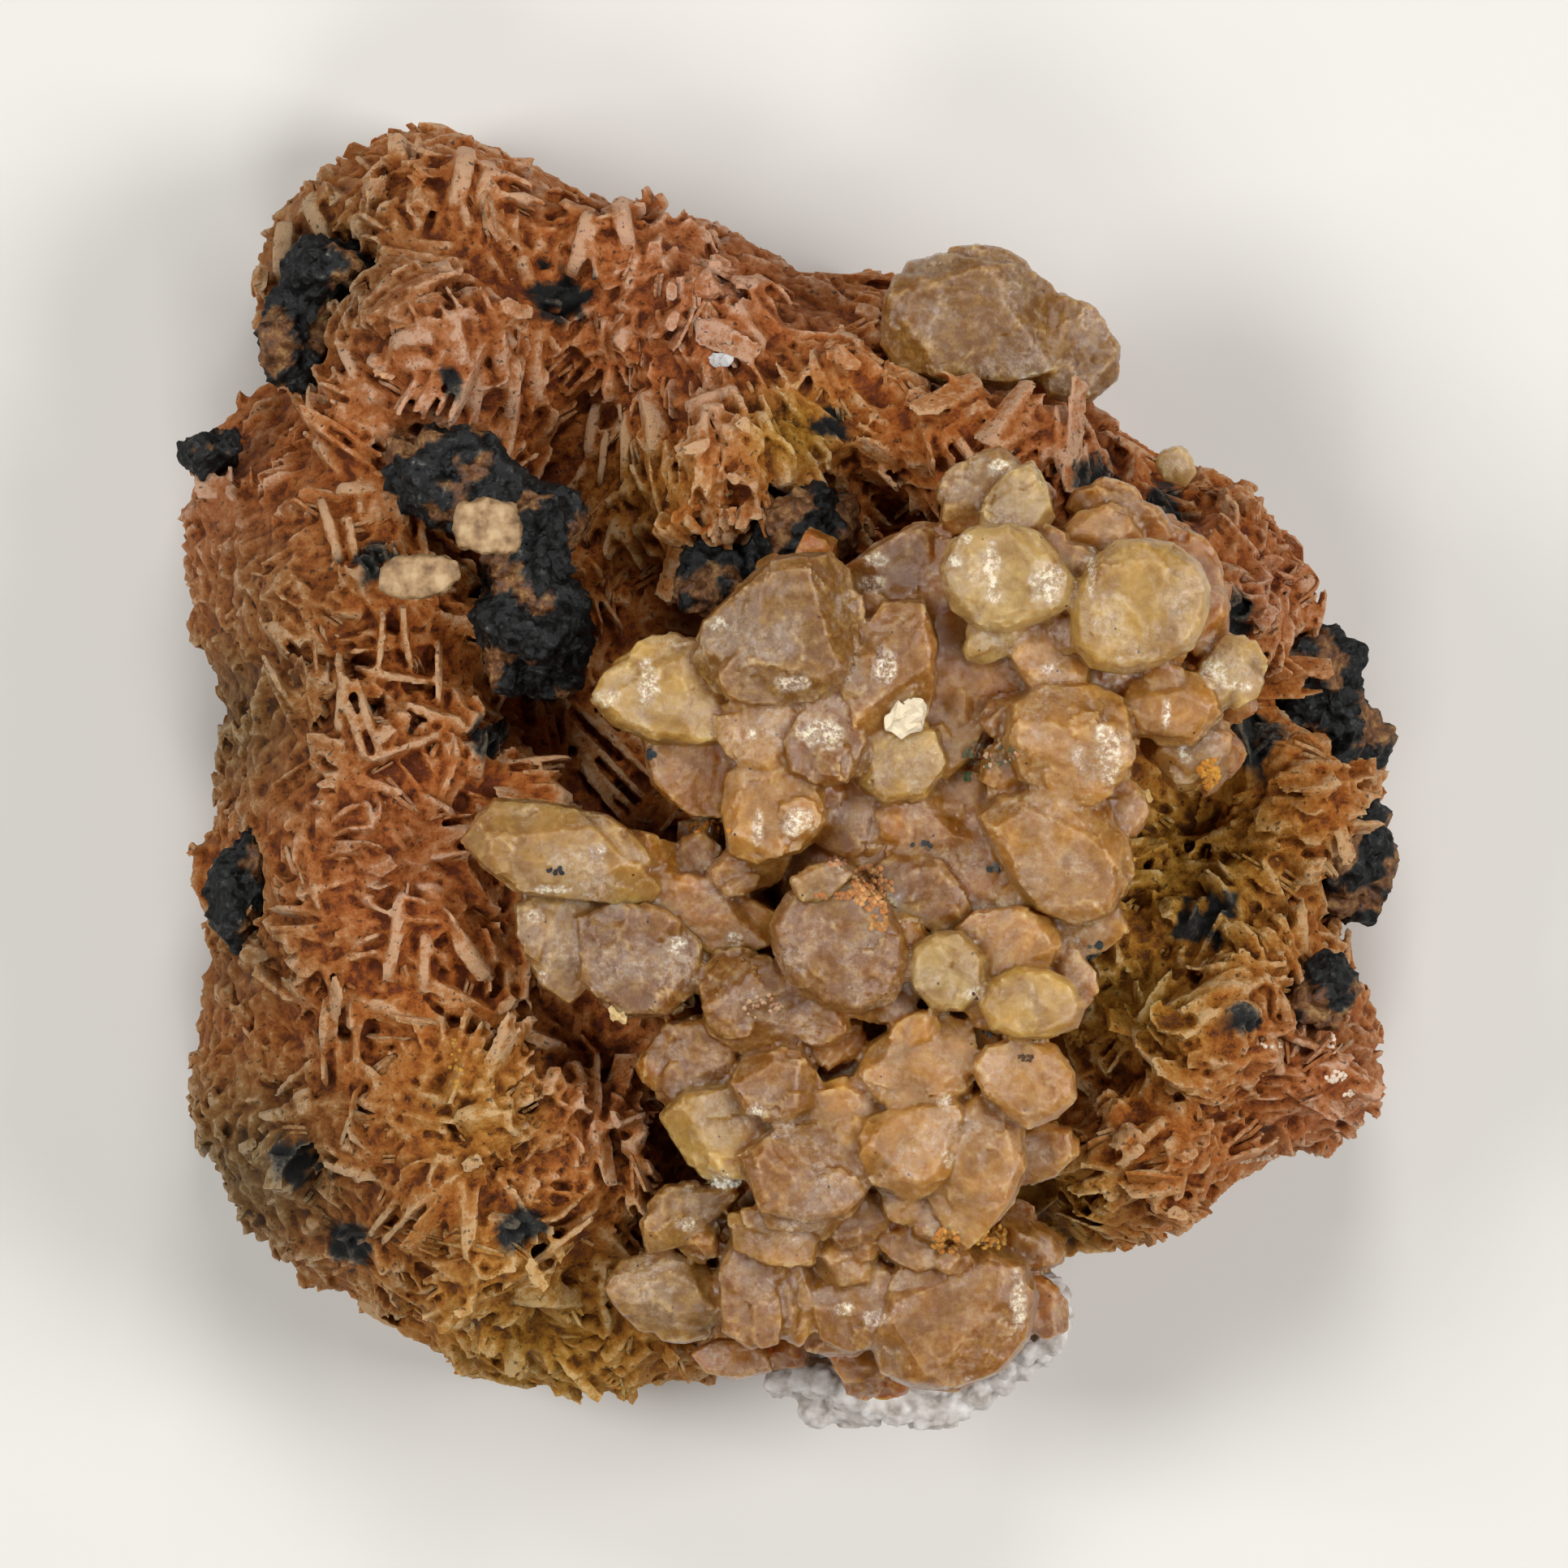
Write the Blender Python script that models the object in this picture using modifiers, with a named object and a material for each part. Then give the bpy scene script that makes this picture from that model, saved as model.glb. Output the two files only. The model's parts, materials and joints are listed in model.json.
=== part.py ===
"""Barite with cerussite: a hand specimen that lies on its broken back.

A mass of pink-orange bladed barite carries a mound of grown-together honey cerussite
crystals, a few single crystals, dark galena lumps along its rim and a white crust below.
X is to the right and Y is up as one looks down on the crystal face, and Z is up off the
table. The origin is the middle of the base. All sizes and places below are millimetres.
"""

import math
import random

import bmesh
import bpy
from mathutils import Euler, Matrix, Vector, noise
from mathutils.bvhtree import BVHTree

MM = 0.001

# Driving dimensions
SEAM = 0.35
VOXEL = 1.25
CRAG_RELIEF = 1.1
CRAG_SIZE = 4.2
LEDGE = 0.6
CRAG_LEVEL = 0.3
BODY_TRIANGLES = 1150
BLADE_THICKNESS = 1.15
BLADE_NARROW_FACE = 0.85
BLADE_SPACING = 2.2
BLADE_HEIGHT_SHARE = 0.42
BLADE_SINK = 0.8
FAN_OPENING = 13.0
FAN_SWING = 9.0
FAN_JITTER = 7.0
CRYSTAL_ROOT = 1.6
ROOT_TAPER = 0.72
BEVEL_SHARE = 0.4
GALENA_ROUGHNESS = 0.1
TINY_EDGE = 0.25
TABLE_SIZE = 120.0
TABLE_DEPTH = 40.0
WELL_OUTSIDE = 60.0

# The barite's lobes: centre x, y, z, then radii x, y, z and a turn about Z in degrees
LOBES = {
    "left_mass": (-19.6, -5.6, 8.0, 10.1, 17.6, 17.5, 3),
    "lower_left": (-16.6, -18.8, 7.5, 15.0, 10.0, 17.0, -24),
    "bottom_rim": (-9.8, -27.0, 7.0, 9.0, 4.8, 10.5, -6),
    "rosette_lobe": (-18.0, 20.6, 7.0, 7.4, 7.4, 15.2, 20),
    "top_ridge": (-16.8, 27.6, 6.5, 8.2, 4.9, 11.0, -14),
    "top_left_shoulder": (-23.2, 25.8, 6.0, 3.9, 4.4, 9.5, 0),
    "left_shoulder": (-26.8, 12.8, 6.5, 4.6, 5.6, 10.5, 0),
    "left_upper": (-20.5, 9.0, 7.5, 9.8, 9.4, 15.4, 0),
    "cleft_floor": (-8.4, 10.4, 4.0, 6.0, 10.0, 9.0, 0),
    "top_middle": (-6.4, 23.4, 6.0, 7.8, 5.6, 12.5, -14),
    "top_saddle": (2.4, 21.6, 6.0, 6.2, 4.4, 10.5, -10),
    "middle_wall": (-1.5, 15.4, 8.0, 7.5, 8.5, 14.2, 0),
    "upper_right": (9.6, 16.2, 7.5, 9.6, 5.4, 15.8, -18),
    "right_shoulder": (20.6, 8.4, 7.5, 6.2, 6.6, 14.5, 10),
    "core": (5.6, -2.0, 7.0, 15.0, 15.0, 14.6, 0),
    "heart": (-7.5, -4.0, 3.0, 8.0, 16.0, 11.0, 0),
    "under_left_wing": (-7.0, -9.5, 7.0, 6.5, 9.0, 13.0, 0),
    "lower_middle": (3.4, -18.4, 6.0, 13.5, 9.2, 12.8, 0),
    "bottom_middle": (7.0, -25.4, 5.5, 5.4, 4.8, 8.6, 0),
    "right_rim": (24.8, -1.8, 6.5, 5.5, 8.0, 12.4, 0),
    "right_lower": (21.2, -12.0, 7.0, 9.0, 7.6, 15.2, 12),
    "lower_right_corner": (25.4, -15.0, 7.5, 5.4, 4.9, 12.5, 0),
    "lower_right_fan": (17.2, -18.9, 7.5, 6.4, 5.3, 13.4, 25),
}
# Clefts and hollows in the barite, as lobes that are cut away
HOLLOWS = {
    "long_cleft": (-9.0, 11.0, 24.0, 2.3, 8.6, 11.5, -7),
    "cleft_head": (-10.6, 19.0, 21.5, 2.2, 4.6, 6.5, 12),
    "cluster_foot": (-5.6, -2.8, 25.0, 3.0, 2.0, 6.0, -25),
    "ochre_hollow": (18.4, -6.6, 26.0, 4.2, 6.2, 9.5, 8),
    "ochre_hollow_head": (20.6, 0.8, 24.0, 3.2, 4.4, 6.5, -15),
}
# Fans of big blades that can be picked out by eye: x, y, turn of the fan, blades, blade length
FANS = (
    (-20.6, 2.4, 20, 3, 7.0),
    (-13.4, -2.6, 140, 3, 7.8),
    (-22.4, -9.6, 60, 2, 6.4),
    (-14.6, -9.4, 35, 3, 8.0),
    (-22.4, -18.2, 95, 3, 6.8),
    (-15.0, -16.2, 10, 3, 7.6),
    (-9.0, -17.2, 70, 3, 7.4),
    (-13.6, -23.0, 110, 3, 6.8),
    (-17.0, 22.0, 40, 3, 6.6),
    (-21.2, 16.4, 110, 2, 6.2),
    (-16.4, 29.0, 85, 3, 6.0),
    (-8.8, 26.6, 100, 2, 5.6),
    (-3.6, 22.4, 60, 3, 6.4),
    (3.2, 20.4, 130, 2, 6.4),
    (-2.8, 14.6, 80, 3, 8.4),
    (12.6, 16.8, 100, 2, 5.8),
    (22.4, 8.4, 75, 2, 5.6),
    (20.6, -13.2, 30, 3, 7.6),
    (26.4, -14.6, 125, 2, 6.0),
    (17.6, -18.4, 60, 3, 7.6),
)
SIDE_FANS = 9
SIDE_FAN_BLADES = 2
SIDE_FAN_LENGTH = 5.0
SIDE_FAN_SINK = 1.2
SIDE_FAN_TURN = 47
SIDE_FAN_LOWEST = 5.5
SIDE_FAN_SPREAD = 8.5
HEIGHT_STEP = 0.618

# The cerussite mound: smooth cores that carry the crystals, as lobes
MOUND = {
    "upper": (9.6, 5.8, 23.0, 11.2, 5.8, 4.8, 8),
    "middle": (8.0, -4.6, 22.6, 9.0, 8.4, 5.2, 0),
    "left": (-6.0, -6.8, 22.2, 6.0, 3.2, 4.0, -8),
    "lower": (4.6, -17.0, 21.0, 7.4, 7.8, 5.0, 0),
    "foot": (3.4, -24.2, 17.8, 7.2, 3.2, 4.2, 0),
}
# Crystals of the mound: x, y, z, then radii along the plate, across it and half its
# height, then tilt about X, tilt about Y and turn about Z in degrees
CRYSTALS = {
    "grey_head": (9.6, 13.6, 26.2, 2.6, 2.4, 2.3, -18, -12, 10),
    "pale_head": (11.8, 13.2, 27.4, 2.0, 2.0, 2.2, -6, 16, 35),
    "bright_round": (10.9, 9.4, 29.4, 3.5, 3.2, 3.0, 8, -10, 15),
    "big_disc": (17.3, 8.3, 29.4, 3.5, 3.5, 3.0, -6, 10, 20),
    "behind_disc": (15.4, 12.4, 26.4, 2.1, 2.0, 2.0, -16, 4, 40),
    "brown_back": (18.4, 12.0, 25.4, 2.4, 2.0, 2.0, -28, 14, 0),
    "right_back": (20.8, 8.6, 25.6, 2.0, 2.7, 2.2, 0, 34, 10),
    "under_bright": (12.9, 5.4, 27.6, 2.3, 2.1, 2.4, 14, 8, 22),
    "glint_block": (21.6, 5.0, 25.6, 2.1, 2.0, 2.2, -18, 32, 30),
    "tan_block": (18.3, 4.0, 26.6, 2.5, 2.2, 2.3, 16, 18, 5),
    "tan_foot": (19.8, 1.2, 24.6, 2.2, 2.0, 2.2, 28, 30, 15),
    "white_flash": (13.9, 0.9, 29.0, 3.5, 3.2, 3.1, 12, 18, 12),
    "flash_foot": (16.6, -1.8, 26.2, 1.9, 1.8, 2.1, 24, 28, 35),
    "broad_block": (13.2, -4.3, 28.2, 3.7, 3.3, 3.0, 16, 12, -22),
    "hood": (0.6, 8.7, 28.0, 3.4, 3.5, 3.0, 26, -10, 25),
    "hood_band": (-1.2, 5.2, 28.0, 4.2, 2.6, 2.8, 18, -6, 8),
    "left_tip": (-5.8, 3.8, 26.6, 3.4, 2.6, 2.6, 12, -22, 15),
    "upright": (5.1, 5.8, 28.0, 2.3, 4.0, 2.9, -14, 8, -10),
    "mauve_back": (5.8, 10.2, 26.0, 3.3, 2.2, 2.2, -28, -8, 18),
    "orange_left": (-3.8, 0.5, 25.6, 2.7, 2.4, 2.4, 14, -22, 0),
    "rough_middle": (2.4, 0.9, 28.2, 2.5, 2.5, 2.6, -20, 14, 30),
    "small_wedge": (-0.6, 2.0, 27.2, 2.0, 2.0, 2.4, 18, -26, 12),
    "green_middle": (6.2, 1.6, 27.9, 2.8, 2.6, 2.6, 20, 6, 10),
    "white_facet": (0.5, -2.0, 27.9, 2.8, 2.4, 2.6, 18, 22, -18),
    "facet_foot": (-0.5, -4.4, 26.0, 3.1, 1.8, 2.2, 16, -10, 10),
    "small_knob": (-4.1, -3.2, 24.2, 1.3, 1.5, 1.9, 0, -18, 0),
    "yellow_wing": (-10.6, -3.5, 27.4, 4.9, 2.3, 1.9, -12, -8, -30),
    "frosty_wing": (-10.2, -7.8, 25.4, 2.8, 3.2, 2.3, 14, -22, 10),
    "pink_left": (-6.3, -8.4, 26.4, 3.1, 2.7, 2.5, 8, -10, 20),
    "ochre_left": (-2.6, -7.2, 25.6, 2.9, 2.2, 2.2, 20, 6, 0),
    "grey_round": (2.7, -8.2, 28.0, 3.8, 3.7, 3.0, -8, -10, 15),
    "mauve_slab": (7.0, -5.2, 26.6, 3.5, 2.1, 2.4, 16, 14, -38),
    "speckled": (-1.2, -11.4, 26.4, 3.2, 2.8, 2.5, 12, -10, 10),
    "mauve_low": (-4.8, -13.8, 24.6, 2.6, 2.3, 2.3, 8, -24, 30),
    "amber_small": (2.3, -12.9, 25.0, 1.7, 1.7, 1.9, 24, 14, 0),
    "honey_round": (0.2, -15.5, 26.4, 2.3, 2.3, 2.3, -14, 8, 20),
    "yellow_edge": (-2.9, -18.0, 25.2, 3.2, 2.8, 2.3, 18, -18, 12),
    "plain_block": (1.5, -19.4, 26.4, 3.5, 3.2, 2.8, 10, 6, 8),
    "tan_upper": (6.4, -14.1, 26.7, 2.9, 2.7, 2.6, -12, -10, 30),
    "pale_disc": (12.1, -11.2, 28.4, 2.8, 2.2, 2.4, -8, 14, 0),
    "twin_left": (7.9, -9.7, 27.8, 2.1, 2.6, 2.4, 6, -24, 14),
    "twin_right": (11.1, -8.0, 27.3, 3.0, 2.1, 2.4, -16, 6, 0),
    "honey_disc": (11.6, -15.2, 27.6, 2.8, 2.5, 2.4, 14, 18, -12),
    "lower_block": (6.6, -18.3, 26.9, 3.0, 2.9, 2.7, 14, -10, 15),
    "pointed_block": (9.8, -19.3, 26.0, 2.7, 3.5, 2.6, 18, 14, 0),
    "pink_knob": (3.8, -21.8, 24.4, 1.9, 1.9, 2.2, 22, 0, 25),
    "small_cap": (6.6, -23.3, 23.2, 2.1, 1.7, 2.1, 16, 10, 0),
    "dull_column": (-1.4, -25.0, 21.8, 2.9, 3.8, 2.7, 24, -12, 0),
    "frosty_foot": (-5.6, -25.2, 20.8, 3.0, 3.2, 2.3, 18, -22, 20),
    "glass_shard": (-3.8, -21.8, 22.8, 2.2, 2.4, 2.0, 0, -28, 35),
    "banded_foot": (3.4, -26.0, 21.4, 2.9, 2.7, 2.6, 24, 6, 10),
    "big_foot": (8.4, -26.6, 22.2, 4.2, 3.4, 3.1, 18, 16, 12),
    "front_left": (-0.4, -28.2, 17.6, 2.4, 2.2, 2.2, 55, -10, 0),
    "front_middle": (4.4, -28.8, 17.2, 2.6, 2.3, 2.2, 60, 0, 20),
    "front_right": (9.8, -28.4, 17.6, 2.4, 2.3, 2.0, 50, 30, 10),
    "flank_low": (11.4, -23.2, 20.6, 2.0, 2.4, 2.0, 20, 50, 0),
    "flank_high": (14.2, -8.4, 25.0, 2.0, 2.2, 2.0, 10, 40, 15),
    "cleft_side": (-4.8, 6.4, 23.4, 2.2, 2.2, 2.0, -30, -40, 0),
}
SINGLE_CRYSTALS = {
    "cerussite_top": (
        (9.4, 22.2, 17.4, 5.6, 3.8, 3.2, 10, -6, -16),
        (14.0, 20.4, 17.0, 2.9, 3.1, 2.6, 10, 20, -30),
    ),
    "cerussite_rim": ((19.4, 15.2, 17.6, 1.3, 1.2, 1.6, -30, 30, 0),),
    "pale_block": ((-14.6, 12.3, 24.4, 1.7, 1.3, 1.0, -6, 8, 4),),
}

# Galena lumps: each is a few rounded lobes, with centres and radii as for the barite
GALENA = {
    "galena_left": (
        (-15.8, 14.4, 21.2, 4.2, 2.6, 2.8, -20),
        (-12.6, 11.2, 20.8, 2.6, 3.4, 2.9, 0),
        (-12.4, 7.2, 20.8, 3.2, 3.6, 3.4, 0),
    ),
    "galena_middle": (
        (1.0, 12.2, 20.4, 2.6, 2.3, 2.6, 30),
        (-3.2, 9.8, 19.0, 2.8, 1.7, 2.2, 30),
    ),
    "galena_right_upper": (
        (27.0, 4.4, 13.4, 2.5, 2.8, 2.7, 0),
        (28.4, 1.6, 12.8, 2.1, 2.1, 2.4, 0),
    ),
    "galena_right_lower": (
        (28.4, -3.6, 12.6, 2.2, 3.3, 2.6, 8),
        (28.2, -6.0, 11.8, 1.8, 1.8, 2.0, 0),
    ),
    "galena_lower_right": ((26.8, -10.9, 18.4, 1.5, 1.9, 1.5, 0),),
    "galena_top_left": (
        (-22.6, 25.2, 15.4, 2.6, 1.6, 1.9, 10),
        (-24.4, 22.0, 15.0, 1.8, 3.4, 2.0, -8),
    ),
    "galena_left_edge": ((-28.6, 16.2, 13.6, 1.9, 1.3, 1.6, 30),),
    "galena_left_lower": ((-26.6, -5.6, 18.0, 1.6, 3.2, 1.9, -12),),
}

# White crust below the mound: x, y, z and radius of each knob
CRUST = (
    (0.6, -29.6, 12.6, 1.5),
    (2.0, -30.9, 12.2, 1.7),
    (3.9, -31.2, 12.6, 1.8),
    (3.0, -29.2, 11.2, 1.7),
    (5.4, -29.8, 13.0, 1.5),
    (7.2, -31.0, 12.4, 1.8),
    (8.8, -30.2, 13.4, 1.4),
    (10.4, -29.0, 13.2, 1.4),
    (12.0, -27.6, 14.2, 1.6),
    (13.0, -26.2, 14.8, 1.6),
)

# Finishes: colour, roughness, metallic
FINISHES = {
    "barite": ((0.52, 0.25, 0.12), 0.6, 0.0),
    "cerussite": ((0.66, 0.46, 0.24), 0.3, 0.0),
    "pale_barite": ((0.6, 0.5, 0.38), 0.5, 0.0),
    "galena": ((0.045, 0.05, 0.06), 0.4, 0.8),
    "white_crust": ((0.8, 0.77, 0.74), 0.8, 0.0),
}


def finish(name):
    """The Principled material of one mineral, made once."""
    if name in bpy.data.materials:
        return bpy.data.materials[name]
    colour, roughness, metallic = FINISHES[name]
    material = bpy.data.materials.new(name)
    material.use_nodes = True
    shader = material.node_tree.nodes["Principled BSDF"]
    shader.inputs["Base Color"].default_value = (*colour, 1.0)
    shader.inputs["Roughness"].default_value = roughness
    shader.inputs["Metallic"].default_value = metallic
    material.diffuse_color = (*colour, 1.0)
    return material


def place(x, y, z, tilt_x=0.0, tilt_y=0.0, turn=0.0, radii=(1.0, 1.0, 1.0)):
    """Matrix that puts a unit shape at a point in millimetres, turned by degrees."""
    rotation = Euler([math.radians(a) for a in (tilt_x, tilt_y, turn)]).to_matrix().to_4x4()
    return Matrix.Translation((x, y, z)) @ rotation @ Matrix.Diagonal((*radii, 1.0))


def make_object(name, bm, collection, mineral=None):
    """Object from a bmesh in millimetres."""
    bmesh.ops.transform(bm, matrix=Matrix.Scale(MM, 4), verts=bm.verts)
    bmesh.ops.recalc_face_normals(bm, faces=bm.faces)
    mesh = bpy.data.meshes.new(name)
    bm.to_mesh(mesh)
    bm.free()
    obj = bpy.data.objects.new(name, mesh)
    collection.objects.link(obj)
    if mineral:
        mesh.materials.append(finish(mineral))
    return obj


def settle(obj):
    """Turns the object's modifiers into its mesh."""
    bpy.context.view_layer.update()
    graph = bpy.context.evaluated_depsgraph_get()
    mesh = bpy.data.meshes.new_from_object(obj.evaluated_get(graph))
    obj.modifiers.clear()
    obj.data = mesh


def combine(obj, other, operation, overlapping=False):
    """Joins other to obj or cuts it away, then removes other."""
    modifier = obj.modifiers.new(operation.lower(), "BOOLEAN")
    modifier.operation = operation
    modifier.solver = "EXACT"
    modifier.use_self = overlapping
    modifier.object = other
    settle(obj)
    bpy.data.objects.remove(other)


def keep_largest(obj):
    """Drops the crumbs that a cut leaves beside the main body."""
    bm = bmesh.new()
    bm.from_mesh(obj.data)
    waiting = set(bm.faces)
    largest = set()
    while waiting:
        island = {waiting.pop()}
        front = list(island)
        while front:
            for edge in front.pop().edges:
                if len(edge.link_faces) == 2:
                    fresh = [f for f in edge.link_faces if f not in island]
                    island.update(fresh)
                    front.extend(fresh)
        waiting -= island
        largest = max(largest, island, key=len)
    crumbs = [f for f in bm.faces if f not in largest]
    bmesh.ops.delete(bm, geom=crumbs, context="FACES")
    bm.to_mesh(obj.data)
    bm.free()


def facing(corners):
    """Direction that a triangle faces, from its three corners."""
    return (corners[1] - corners[0]).cross(corners[2] - corners[0])


def may_collapse(edge):
    """True where an edge can shrink to its middle without a pinch or a face that turns over."""
    if len(edge.link_faces) != 2:
        return False
    near = [{e.other_vert(v) for e in v.link_edges} for v in edge.verts]
    if len(near[0] & near[1]) != 2:
        return False
    middle = (edge.verts[0].co + edge.verts[1].co) / 2
    for vertex in edge.verts:
        for face in vertex.link_faces:
            if edge not in face.edges[:]:
                before = facing([v.co for v in face.verts])
                after = facing([middle if v == vertex else v.co for v in face.verts])
                if before.dot(after) <= 0:
                    return False
    return True


def close_up(obj):
    """Collapses the tiny edges that the cuts leave, which hold many faces and no shape."""
    bm = bmesh.new()
    bm.from_mesh(obj.data)
    bmesh.ops.triangulate(bm, faces=bm.faces)
    tiny = sorted((e for e in bm.edges if e.calc_length() < TINY_EDGE * MM), key=lambda e: e.index)
    for edge in tiny:
        if edge.is_valid and edge.calc_length() < TINY_EDGE * MM and may_collapse(edge):
            middle = (edge.verts[0].co + edge.verts[1].co) / 2
            bmesh.ops.pointmerge(bm, verts=edge.verts[:], merge_co=middle)
    bm.to_mesh(obj.data)
    bm.free()


def table_cutter(helpers):
    """A block that fills everything below the table."""
    bm = bmesh.new()
    size = (TABLE_SIZE, TABLE_SIZE, TABLE_DEPTH)
    bmesh.ops.create_cube(bm, size=1.0, matrix=place(0, 0, -TABLE_DEPTH / 2, radii=size))
    return make_object("table", bm, helpers)


def reduce_to(obj, triangles):
    """Brings the mesh down to about this many triangles."""
    bpy.context.view_layer.update()
    now = sum(len(face.vertices) - 2 for face in obj.data.polygons)
    modifier = obj.modifiers.new("reduce", "DECIMATE")
    modifier.ratio = min(1.0, triangles / now)
    settle(obj)


def add_lobe(bm, lobe, detail, grow=0.0):
    """Adds one ellipsoid, grown by a margin."""
    x, y, z, rx, ry, rz, turn = lobe
    radii = (rx + grow, ry + grow, rz + grow)
    matrix = place(x, y, z, turn=turn, radii=radii)
    return bmesh.ops.create_icosphere(bm, subdivisions=detail, radius=1.0, matrix=matrix)["verts"]


def lobes_object(name, lobes, collection, detail, grow=0.0, mineral=None):
    """One object of several overlapping ellipsoids."""
    bm = bmesh.new()
    for lobe in lobes:
        add_lobe(bm, lobe, detail, grow)
    return make_object(name, bm, collection, mineral)


def crag(point):
    """Height of the rough growth surface above the smooth lobes at a point in millimetres."""
    cells = noise.voronoi(point / CRAG_SIZE)[0]
    ledges = min(cells[1] - cells[0], LEDGE)
    swell = noise.fractal(point / (2.0 * CRAG_SIZE), 0.8, 2.0, 3)
    return CRAG_RELIEF * (ledges + swell - CRAG_LEVEL)


def barite_body(nodes, helpers):
    """The mass of barite without its big blades: lobes grown together and cleft, with a craggy surface."""
    body = lobes_object("barite_mass", LOBES.values(), nodes, 3, mineral="barite")
    remesh = body.modifiers.new("grow_together", "REMESH")
    remesh.mode = "VOXEL"
    remesh.voxel_size = VOXEL * MM
    settle(body)
    combine(body, lobes_object("hollows", HOLLOWS.values(), helpers, 3), "DIFFERENCE", True)
    again = body.modifiers.new("even_out", "REMESH")
    again.mode = "VOXEL"
    again.voxel_size = VOXEL * MM
    settle(body)
    normals = [v.normal.copy() for v in body.data.vertices]
    for vertex, normal in zip(body.data.vertices, normals):
        vertex.co += normal * crag(vertex.co / MM) * MM
    reduce_to(body, BODY_TRIANGLES)
    return body


def surface_finder(obj):
    """Finds where a ray meets the object, in millimetres."""
    bm = bmesh.new()
    bm.from_mesh(obj.data)
    tree = BVHTree.FromBMesh(bm)
    bm.free()

    def find(start, direction):
        point, normal, _, _ = tree.ray_cast(Vector(start) * MM, Vector(direction))
        return (None, None) if point is None else (point / MM, normal)

    return find


def add_blade(bm, point, outward, along, length, height, grow=0.0):
    """Adds one tabular crystal on its edge: a flat six-sided plate whose lower half is buried."""
    across = outward.cross(along).normalized()
    along = across.cross(outward).normalized()
    frame = Matrix((along, outward, across)).transposed().to_4x4()
    matrix = (
        Matrix.Translation(point)
        @ frame
        @ Matrix.Diagonal((length / 2 + grow, height + grow, 1.0, 1.0))
    )
    bmesh.ops.create_cone(
        bm,
        cap_ends=True,
        segments=6,
        radius1=BLADE_NARROW_FACE,
        radius2=1.0,
        depth=BLADE_THICKNESS + 2 * grow,
        matrix=matrix,
    )


def add_fan(bm, point, outward, turn, count, length, sink, seed):
    """Adds blades that open like the pages of a book, out of one spot of the surface."""
    pick = random.Random(seed)
    upright = Vector((0, 0, 1)) if abs(outward.z) < 0.8 else Vector((0, 1, 0))
    side = outward.cross(upright).normalized()
    along = Matrix.Rotation(math.radians(turn), 3, outward) @ side
    across = outward.cross(along).normalized()
    for k in range(count):
        step = k - (count - 1) / 2
        lean = math.radians(FAN_OPENING * step + pick.uniform(-FAN_JITTER, FAN_JITTER))
        swing = math.radians(FAN_SWING * step + pick.uniform(-FAN_JITTER, FAN_JITTER))
        out = Matrix.Rotation(lean, 3, along) @ outward
        way = Matrix.Rotation(swing, 3, out) @ along
        spot = point + across * step * BLADE_SPACING - outward * sink
        size = length * pick.uniform(0.82, 1.08)
        add_blade(bm, spot, out.normalized(), way, size, BLADE_HEIGHT_SHARE * size)


def side_directions(count):
    """Evenly spread level directions round the specimen, each with a height."""
    golden = math.pi * (3 - math.sqrt(5))
    for k in range(count):
        yield k * golden, SIDE_FAN_LOWEST + SIDE_FAN_SPREAD * ((k * HEIGHT_STEP) % 1.0)


def big_blades(helpers, find):
    """All the big blades of barite, as one cluster of overlapping plates."""
    bm = bmesh.new()
    for seed, (x, y, turn, count, length) in enumerate(FANS):
        point, normal = find((x, y, WELL_OUTSIDE), (0, 0, -1))
        if point:
            outward = (normal + Vector((0, 0, 1.2))).normalized()
            add_fan(bm, point, outward, turn, count, length, BLADE_SINK, seed)
    for index, (angle, height) in enumerate(side_directions(SIDE_FANS)):
        away = Vector((math.cos(angle), math.sin(angle), 0))
        start = Vector((0, 0, height)) + away * WELL_OUTSIDE
        point, normal = find(start, -away)
        if point:
            outward = (normal + away).normalized()
            add_fan(
                bm,
                point,
                outward,
                SIDE_FAN_TURN * index,
                SIDE_FAN_BLADES,
                SIDE_FAN_LENGTH,
                SIDE_FAN_SINK,
                len(FANS) + index,
            )
    return make_object("big_blades", bm, helpers)


def add_crystal(bm, crystal, grow=0.0):
    """Adds one stubby six-sided cerussite: it tapers to a buried root, and its free end is bevelled."""
    x, y, z, rx, ry, half, tilt_x, tilt_y, turn = crystal
    radii = (rx + grow, ry + grow, half + grow)
    height = 1 + CRYSTAL_ROOT
    made = bmesh.ops.create_cone(
        bm,
        cap_ends=True,
        segments=6,
        radius1=ROOT_TAPER,
        radius2=1.0,
        depth=height,
        matrix=Matrix.Translation((0, 0, 1 - height / 2)),
    )
    top = [v for v in made["verts"] if v.co.z > 0]
    rim = {e for v in top for e in v.link_edges if e.other_vert(v).co.z > 0}
    bevelled = bmesh.ops.bevel(
        bm, geom=list(rim), offset=BEVEL_SHARE, segments=1, profile=0.5, affect="EDGES", material=-1
    )
    verts = {v for v in made["verts"] if v.is_valid} | set(bevelled["verts"])
    bmesh.ops.transform(bm, matrix=place(x, y, z, tilt_x, tilt_y, turn, radii), verts=list(verts))


def cluster_object(name, collection, grow=0.0, mineral=None):
    """The mound of cerussite: its cores and all its crystals, still overlapping."""
    bm = bmesh.new()
    for lobe in MOUND.values():
        add_lobe(bm, lobe, 2, grow)
    for crystal in CRYSTALS.values():
        add_crystal(bm, crystal, grow)
    return make_object(name, bm, collection, mineral)


def single_crystal(name, collection, grow=0.0, mineral=None):
    """A crystal that stands by itself."""
    bm = bmesh.new()
    for crystal in SINGLE_CRYSTALS[name]:
        add_crystal(bm, crystal, grow)
    return make_object(name, bm, collection, mineral)


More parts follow.
